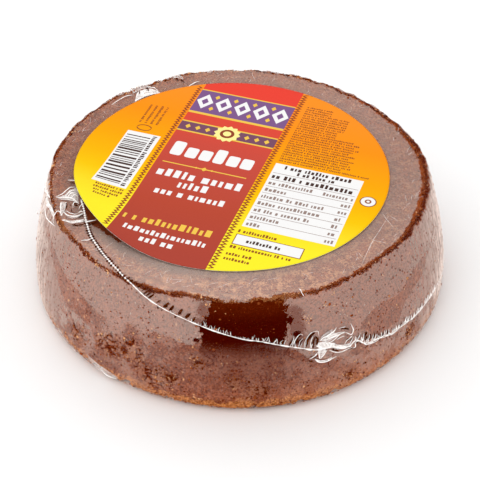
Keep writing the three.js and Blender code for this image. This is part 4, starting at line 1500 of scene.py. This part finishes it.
# Fine scratches on the film over the top face: short bent strings at every angle, more of them one way.
def scratches():
    chance = np.random.default_rng(tufts["scratchSeed"])
    count = tufts["scratches"]
    turn = np.radians(chance.uniform(-180, 180, count))
    radius = chance.uniform(*tufts["scratchRing"], count)
    middle = joined(radius * np.sin(turn), -radius * np.cos(turn))
    lean = math.radians(tufts["scratchLean"]) + chance.normal(0, 0.6, count)
    half = joined(np.cos(lean), np.sin(lean)) * chance.uniform(*tufts["scratchLength"], (count, 1))
    bend = chance.normal(0, 0.12, (count, 2))
    points = np.stack([middle - half, middle + bend, middle + half], axis=1)
    inside = np.hypot(points[..., 0], points[..., 1]).max(axis=1) < tufts["scratchLimit"]
    fromMiddle = np.hypot(*(points - np.array(label["centre"]) / mm).transpose(2, 0, 1)).min(axis=1)
    beside = fromMiddle > label["radius"] / mm + tufts["scratchFromPaper"]
    return [(0.02, 0.024, line) for line in points[inside & beside]]


tuftFilm = whiteFilmMaterial("tuft_film", 0.6, 1.0)
# name, strings on the wall and on the top face, flatness, height of their feet in mm, and material
tuftLines = [
    ("front_tuft", tufts["sideStrings"], [], 0.6, 0.25, tuftFilm),
    ("top_tufts", tufts["rimStrings"], tufts["topStrings"] + scratches(), 0.6, 0.25, tuftFilm),
    ("tuft_shades", tufts["sideShades"], tufts["topShades"], 0.5, 0.2, gapSugar),
    ("film_flaps", tufts["flaps"], [], 0.4, 0.1, tuftFilm),
]
for *lines, material in tuftLines:
    finishPiece(makeTuftLines(*lines), material, "wrapped_sugar")
sheets = makeSheets("tuft_sheets", [(tufts["sideSheets"], onSide), (tufts["topSheets"], onTop)])
finishPiece(sheets, sheetMaterial(), "wrapped_sugar")

# Height of the paper's underside: flat, with slow waves, and a curled edge on one side.
def paperFoot(x, y):
    fromX, fromY = x - label["centre"][0], y - label["centre"][1]
    share = np.hypot(fromX, fromY) / label["radius"]
    off = (np.degrees(np.arctan2(fromY, fromX)) - label["curlAngle"] + 180) % 360 - 180
    climb = np.clip((share - label["curlStart"]) / (1 - label["curlStart"]), 0, None)
    curl = label["curlRise"] * hump(off, 0, label["curlSpread"]) * climb**2
    wave = 0.1 * mm * smoothNoise(joined(x, y, 0), 17 * mm, 71) * ease(share, 0.2, 0.9)
    return label["foot"] + curl + wave


# Places on the frame from the label's own directions.
def fromLabel(across, up):
    angle = math.radians(label["turned"])
    x = label["centre"][0] + across * math.cos(angle) - up * math.sin(angle)
    y = label["centre"][1] + across * math.sin(angle) + up * math.cos(angle)
    return x, y


# The label: rings out to its edge underneath, round the cut edge, and back in over the printed top.
def makeLabel():
    out = np.linspace(0, 1, label["rings"] + 1)[1:]
    share = np.concatenate([out, out[::-1]])
    isTop = np.arange(len(share)) >= label["rings"]
    share, angle = np.meshgrid(share, onceRound(label["columns"]), indexing="ij")
    across = label["radius"] * share * np.cos(angle)
    up = label["radius"] * share * np.sin(angle)
    x, y = fromLabel(across, up)
    z = paperFoot(x, y) + label["thickness"] * isTop[:, None]
    middle = (*label["centre"], label["foot"])
    above = (middle[0], middle[1], label["foot"] + label["thickness"])
    made = makeClosed("label_paper", joined(x, y, z), middle, above)
    storeValues(made, printed=share * 0 + isTop[:, None])
    return made


# A colour that changes up the label, through the listed (place, colour) pairs.
def fieldRamp(tree, up, pairs):
    low, high = pairs[0][0], pairs[-1][0]
    inputs = {"Value": up, "From Min": low * mm, "From Max": high * mm}
    ramp = addNode(tree, "ValToRGB", {"Fac": addNode(tree, "MapRange", inputs).outputs[0]})
    elements = ramp.color_ramp.elements
    elements[0].position, elements[0].color = 0, tint(*pairs[0][1])
    elements[1].position, elements[1].color = 1, tint(*pairs[-1][1])
    for height, colour in pairs[1:-1]:
        elements.new((height - low) / (high - low)).color = tint(*colour)
    return ramp.outputs[0]


# Ends a material in the paper's surface, roughened by its fibres.
def endInPaper(material, fibre, colour, roughness):
    normal = bumped(material.node_tree, fibre, 0.02 * mm, 0.4)
    return endWith(material, surface(material.node_tree, colour, roughness, normal, label["sheen"]))


# Paper: yellow below to orange above, a red band between its two edges, fine fibres, and a bare underside.
def paperMaterial():
    material, tree, place = newMaterial("label_paper")
    centred = vectorStep(tree, "SUBTRACT", place, (*label["centre"], 0))
    inputs = {"Vector": centred, "Rotation": (0, 0, math.radians(-label["turned"]))}
    axes = addNode(tree, "SeparateXYZ", {0: addNode(tree, "Mapping", inputs).outputs[0]})
    across, up = axes.outputs[0], axes.outputs[1]
    colour = fieldRamp(tree, up, label["fields"])
    left, right = label["band"]
    band = easeNode(tree, across, left - 0.05 * mm, left + 0.05 * mm)
    band = scaled(tree, band, easeNode(tree, across, right + 0.05 * mm, right - 0.05 * mm))
    colour = mixColours(tree, band, colour, fieldRamp(tree, up, label["bandFields"]))
    fibre = noiseOf(tree, place, *label["fibre"])
    low, high = [(strength, strength, strength, 1) for strength in label["strength"]]
    colour = mixColours(tree, 1.0, colour, mixColours(tree, fibre, low, high), "MULTIPLY")
    printed = reckon(tree, "GREATER_THAN", stored(tree, "printed"), 0.7)
    colour = mixColours(tree, printed, label["bare"], colour)
    return endInPaper(material, fibre, colour, 0.6)


finishPiece(makeLabel(), paperMaterial(), "label_paper", "label")

# Plain print on the label: fields, blocks and simple shapes in place of words. All in mm across and up it.
printed = {
    "seed": 21,
    "lift": 0.02,  # how far each layer of ink stands above the one under it
    "sunk": 0.08,
    "thin": (4 * mm, 3, 0.6),  # size, detail and roughness of its thinner places
    "cell": 1.6,
    "edge": 43.3,
    "inks": {
        "white": (243, 242, 241),
        "violet": (124, 84, 136),
        "gold": (240, 196, 74),
        "plum": (118, 70, 96),
        "cream": (252, 240, 150),
        "maroon": (146, 60, 24),
        "brown": (146, 76, 22),
        "grey": (150, 128, 120),
        "black": (66, 38, 30),
    },
    # ink, layer, left, right, low, high
    "fields": [
        ("violet", 1, -21.4, 7.7, 23.2, 34.6),
        ("gold", 1, -21.4, 7.7, 22.2, 23.2),
        ("gold", 1, -21.4, 7.7, 34.6, 35.1),
        ("plum", 1, -21.4, 7.7, 13.2, 17.4),
        ("gold", 1, -21.4, 7.7, 12.6, 13.2),
        ("gold", 1, -21.4, 7.7, 17.4, 18),
        ("gold", 1, -19.5, 5.1, -3.2, -2.8),
        ("white", 1, 10.7, 36, -23.1, 6.7),
        ("white", 1, -34.3, -24.2, -18.5, 7.6),
        ("brown", 1, 10.5, 29.1, -30.9, -26.5),
        ("white", 2, 10.75, 28.85, -30.65, -26.75),
    ],
    # ink, layer, power of the outline (1 diamond, 2 oval, 6 rounded block), depth of its lobes, half its
    # width, half its height, how far up the label, and each one's place across it
    "medals": [
        ("white", 2, 1, 0, 2.55, 3.9, 28.9, [-18.5, -12.7, -6.85, -1, 4.8]),
        ("violet", 3, 1, 0, 1.1, 1.7, 28.9, [-18.5, -12.7, -6.85, -1, 4.8]),
        ("gold", 2, 1, 0, 0.75, 1.1, 32, [-15.6, -9.8, -3.9, 1.9]),
        ("gold", 2, 1, 0, 0.75, 1.1, 25.8, [-15.6, -9.8, -3.9, 1.9]),
        ("cream", 2, 2, 0.1, 3.6, 3.6, 15.3, [-6.85]),
        ("maroon", 3, 2, 0, 2.1, 2.1, 15.3, [-6.85]),
        ("cream", 4, 2, 0, 1.2, 1.2, 15.3, [-6.85]),
        ("gold", 2, 1, 0, 0.8, 1.1, 15.3, [-18.8, -15.8, -12.8, -0.9, 2.1, 5.1]),
        ("white", 1, 6, 0, 1.75, 3.3, 4.1, [-17.5]),
        ("white", 1, 6, 0, 1.7, 2.4, 3.2, [-13.1, -8.9, -0.8, 3.3]),
        ("white", 1, 6, 0, 1.55, 3.3, 4.1, [-4.9]),
        ("gold", 2, 1, 0, 0.9, 0.9, -3, [-7.2]),
        ("gold", 2, 2, 0, 0.35, 0.35, -3, [-9.5, -4.9]),
        ("brown", 1, 2, 0, 2.3, 2.3, -1.9, [39.4]),
        ("white", 2, 2, 0, 2, 2, -1.9, [39.4]),
        ("brown", 3, 2, 0, 0.9, 0.9, -1.9, [39.4]),
        ("white", 4, 2, 0, 0.45, 0.45, -1.9, [39.4]),
    ],
    # lines of print as rows of uneven blocks: ink, layer, left, right, low, high
    "lines": [
        ("white", 1, -19.2, 5.1, -9.2, -5.9),
        ("white", 1, -11.5, -2.5, -13.1, -10.1),
        ("white", 1, -16.7, 3.1, -17.2, -14.7),
        ("gold", 1, -20.2, 6.2, -30.5, -27.8),
        ("white", 1, -18.3, 4.2, -34.9, -32.8),
        ("white", 1, -12.5, -1.5, -38.3, -36),
        ("black", 2, 13.7, 32.5, 4.6, 6.2),
        ("black", 2, 17.8, 28.5, 2.8, 4.2),
        ("black", 2, 11.5, 34.9, -0.3, 1.5),
        ("brown", 1, 10.5, 21.3, -25.8, -24.6),
        ("black", 3, 13.9, 23.5, -29.4, -28.1),
        ("brown", 1, 10.5, 26.7, -32.5, -31.4),
        ("brown", 1, 10.5, 17.5, -35.4, -34.3),
        ("brown", 1, 10.5, 17.5, -37.4, -36.3),
        ("brown", 1, -32.6, -24.5, -19.8, -18.9),
        ("brown", 1, -32.6, -24.5, -21.3, -20.4),
        ("brown", 1, -32, -24.5, -22.8, -21.9),
        ("brown", 1, -31.4, -26.5, -24.3, -23.4),
    ],
    "tableRules": [2.2, -0.98, -4.16, -7.34, -10.52, -13.7, -16.88, -20.06],
    "tableNames": [12.3, 5.9, 17.7, 17.7, 15.3, 8, 3.8],
    "tableValues": [8.2, 2.3, 2.3, 2.3, 2.3, 2.3, 2.3],
    # where the rows of the block above the table end
    "notes": [19] * 3 + [24.6] * 6 + [23] * 3 + [28.5, 30.6, 29.4, 31, 29.8] * 2
    + [30.4, 31, 28.8, 37],
    "notesTop": 36.6,
    "notesPitch": 1.12,
    "bars": (-33.8, -26.7, -17.6, 6.8),  # left, right, low, high
    "sideNotes": [-32.6, -30.9, -29.2, -27.5],  # lines of print that run up the label
    "sideNotesEnds": (12.6, 22.4),
    "tableText": (11.5, 35.2),
    "tableEdges": (11.2, 35.5),
    "zigzags": [(-22.5, 0.5, 0.36), (8.65, 0.62, 0.4)],  # middle, swing and half width
    "zigzagPitch": 1.25,
    "oval": (-30.4, 10.2, 2.3, 1.5),
}


# Places on the printed side from across, up and lift, in mm.
def onLabel(line):
    x, y = fromLabel(line[..., 0] * mm, line[..., 1] * mm)
    return joined(x, y, paperFoot(x, y) + label["thickness"] + line[..., 2] * mm)


# Ink slabs between left and right edge lines, with a number of cells across.
def inkSlabs(left, right, layer, cells=1):
    return slabs(left, right, cells, onLabel, printed["lift"] * layer, printed["sunk"])


# Ink slabs over boxes, each (left, right, low, high), in a number of steps up and cells across.
def boxes(sides, layer, steps=2, cells=1):
    sides = np.array(sides, float).reshape(-1, 4)
    up = np.linspace(sides[:, 2], sides[:, 3], steps, axis=1)
    return inkSlabs(joined(sides[:, :1], up), joined(sides[:, 1:2], up), layer, cells)


# One wide field of ink, in cells small enough to follow the paper.
def field(layer, left, right, low, high):
    steps = 2 + int((high - low) / printed["cell"])
    return boxes([(left, right, low, high)], layer, steps, 1 + int((right - left) / printed["cell"]))


# Filled shapes with superellipse outlines, scalloped by their lobes: a lower ring, an upper ring and one
# inside.
def medals(layer, power, lobes, halfAcross, halfUp, up, across):
    angle = onceRound(48)
    curl = 1 + lobes * np.cos(12 * angle)
    waves = joined(np.cos(angle), np.sin(angle))
    outline = np.sign(waves) * np.abs(waves) ** (2 / power) * curl[:, None] * (halfAcross, halfUp)
    middles = joined(np.array(across, float), up)
    ring = middles[:, None, None] + outline * np.array([1, 1, 0.5])[:, None, None]
    top = printed["lift"] * layer
    lift = np.array([top - printed["sunk"], top, top])[:, None]
    lift = np.broadcast_to(lift, ring.shape[:-1])[..., None]
    grids = onLabel(np.concatenate([ring, lift], axis=-1))
    ends = [onLabel(np.insert(middles, 2, height, axis=1)) for height in (top - printed["sunk"], top)]
    return grids, *ends


# Blocks that stand for a line of print: uneven widths and heights, with wider gaps between words.
def blocks(chance, left, right, low, high):
    tall = high - low
    count = int((right - left) / (0.45 * tall)) + 3
    widths = tall * chance.uniform(0.26, 0.6, count)
    gaps = tall * np.where(chance.uniform(0, 1, count) < 0.18, 0.7, 0.26)
    starts = left + np.cumsum(widths + gaps) - widths - gaps
    tops = low + tall * np.where(chance.uniform(0, 1, count) < 0.35, 1.0, 0.76)
    sides = joined(starts, starts + widths, low, tops)
    return sides[starts + widths <= right + 0.2 * tall]


# The same blocks, turned so that their line runs up the label.
def upright(sides):
    return sides[:, [2, 3, 0, 1]]


# A zigzag border: a strip up the label whose middle swings to each side in straight runs.
def zigzag(middle, swing, halfWidth, layer):
    reach = math.sqrt(printed["edge"] ** 2 - (abs(middle) + swing + halfWidth) ** 2)
    up = np.arange(-reach, reach, printed["zigzagPitch"] / 2)
    side = middle + swing * np.where(np.arange(len(up)) % 2, 1, -1)
    return inkSlabs(joined(side - halfWidth, up)[None], joined(side + halfWidth, up)[None], layer)


# An oval ring in two arcs with gaps between their ends.
def ovalRing(acrossAt, upAt, halfAcross, halfUp, layer):
    angle = np.array([[0.15], [0.15 + math.pi]]) + np.linspace(0, math.pi - 0.3, 14)
    sides = []
    for inset in (0.35, 0.0):
        across = acrossAt + (halfAcross - inset) * np.cos(angle)
        sides.append(joined(across, upAt + (halfUp - inset) * np.sin(angle)))
    return inkSlabs(*sides, layer)


# The nutrition table's rows: a name on the left and a value on the right of each.
def tableRows(chance):
    found = []
    left, right = printed["tableText"]
    for rule, name, value in zip(printed["tableRules"][1:], printed["tableNames"], printed["tableValues"]):
        low = rule - 2.3
        found.append(blocks(chance, left, left + name, low, low + 1.4))
        found.append(blocks(chance, right - value, right, low, low + 1.4))
    return np.concatenate(found)


# Bars of uneven heights, stacked up the label, with a column of small blocks beside them.
def barBoxes(chance):
    left, right, low, high = printed["bars"]
    widths = chance.choice([0.26, 0.4, 0.6, 0.8], 60)
    gaps = chance.choice([0.4, 0.6, 0.9], 60)
    starts = low + np.cumsum(widths + gaps) - widths
    sides = joined(left, right, starts, starts + widths)
    digits = upright(blocks(chance, low, high, right + 0.5, right + 1.7))
    return np.concatenate([sides[starts + widths < high], digits])


# All the print, one piece for each ink, with the shapes of its own layers.
def makePrint():
    chance = np.random.default_rng(printed["seed"])
    sets = {ink: [] for ink in printed["inks"]}
    for ink, *shape in printed["fields"]:
        sets[ink].append(field(*shape))
    for ink, *shape in printed["medals"]:
        sets[ink].append(medals(*shape))
    for ink, layer, *sides in printed["lines"]:
        sets[ink].append(boxes(blocks(chance, *sides), layer))
    for row, right in enumerate(printed["notes"]):
        low = printed["notesTop"] - row * printed["notesPitch"]
        sets["brown"].append(boxes(blocks(chance, 11, right, low - 0.7, low), 1))
    for across in printed["sideNotes"]:
        sides = blocks(chance, *printed["sideNotesEnds"], across - 0.4, across + 0.4)
        sets["brown"].append(boxes(upright(sides), 1))
    rules = [(*printed["tableEdges"], up - 0.07, up + 0.07) for up in printed["tableRules"]]
    sets["grey"] += [boxes(tableRows(chance), 2), boxes(rules, 2, 2, 14)]
    sets["black"].append(boxes(barBoxes(chance), 2, 2, 4))
    sets["maroon"] += [zigzag(*line, 1) for line in printed["zigzags"]]
    sets["brown"].append(ovalRing(*printed["oval"], 1))
    for ink, shapes in sets.items():
        finishPiece(makeMany("print_" + ink, shapes, False), inkMaterial(ink), "label_paper")


# Ink: its colour, thinner here and there by noise, with the paper's fibres showing in its surface.
def inkMaterial(ink):
    material, tree, place = newMaterial("ink_" + ink)
    fibre = noiseOf(tree, place, *label["fibre"])
    thin = noiseOf(tree, place, *printed["thin"])
    tone = scaled(tree, fibre, 0.6, scaled(tree, thin, 0.4))
    full = tint(*printed["inks"][ink])
    worn = tuple(0.86 * value + 0.03 for value in full[:3]) + (1,)
    return endInPaper(material, fibre, mixColours(tree, tone, worn, full), 0.55)


makePrint()
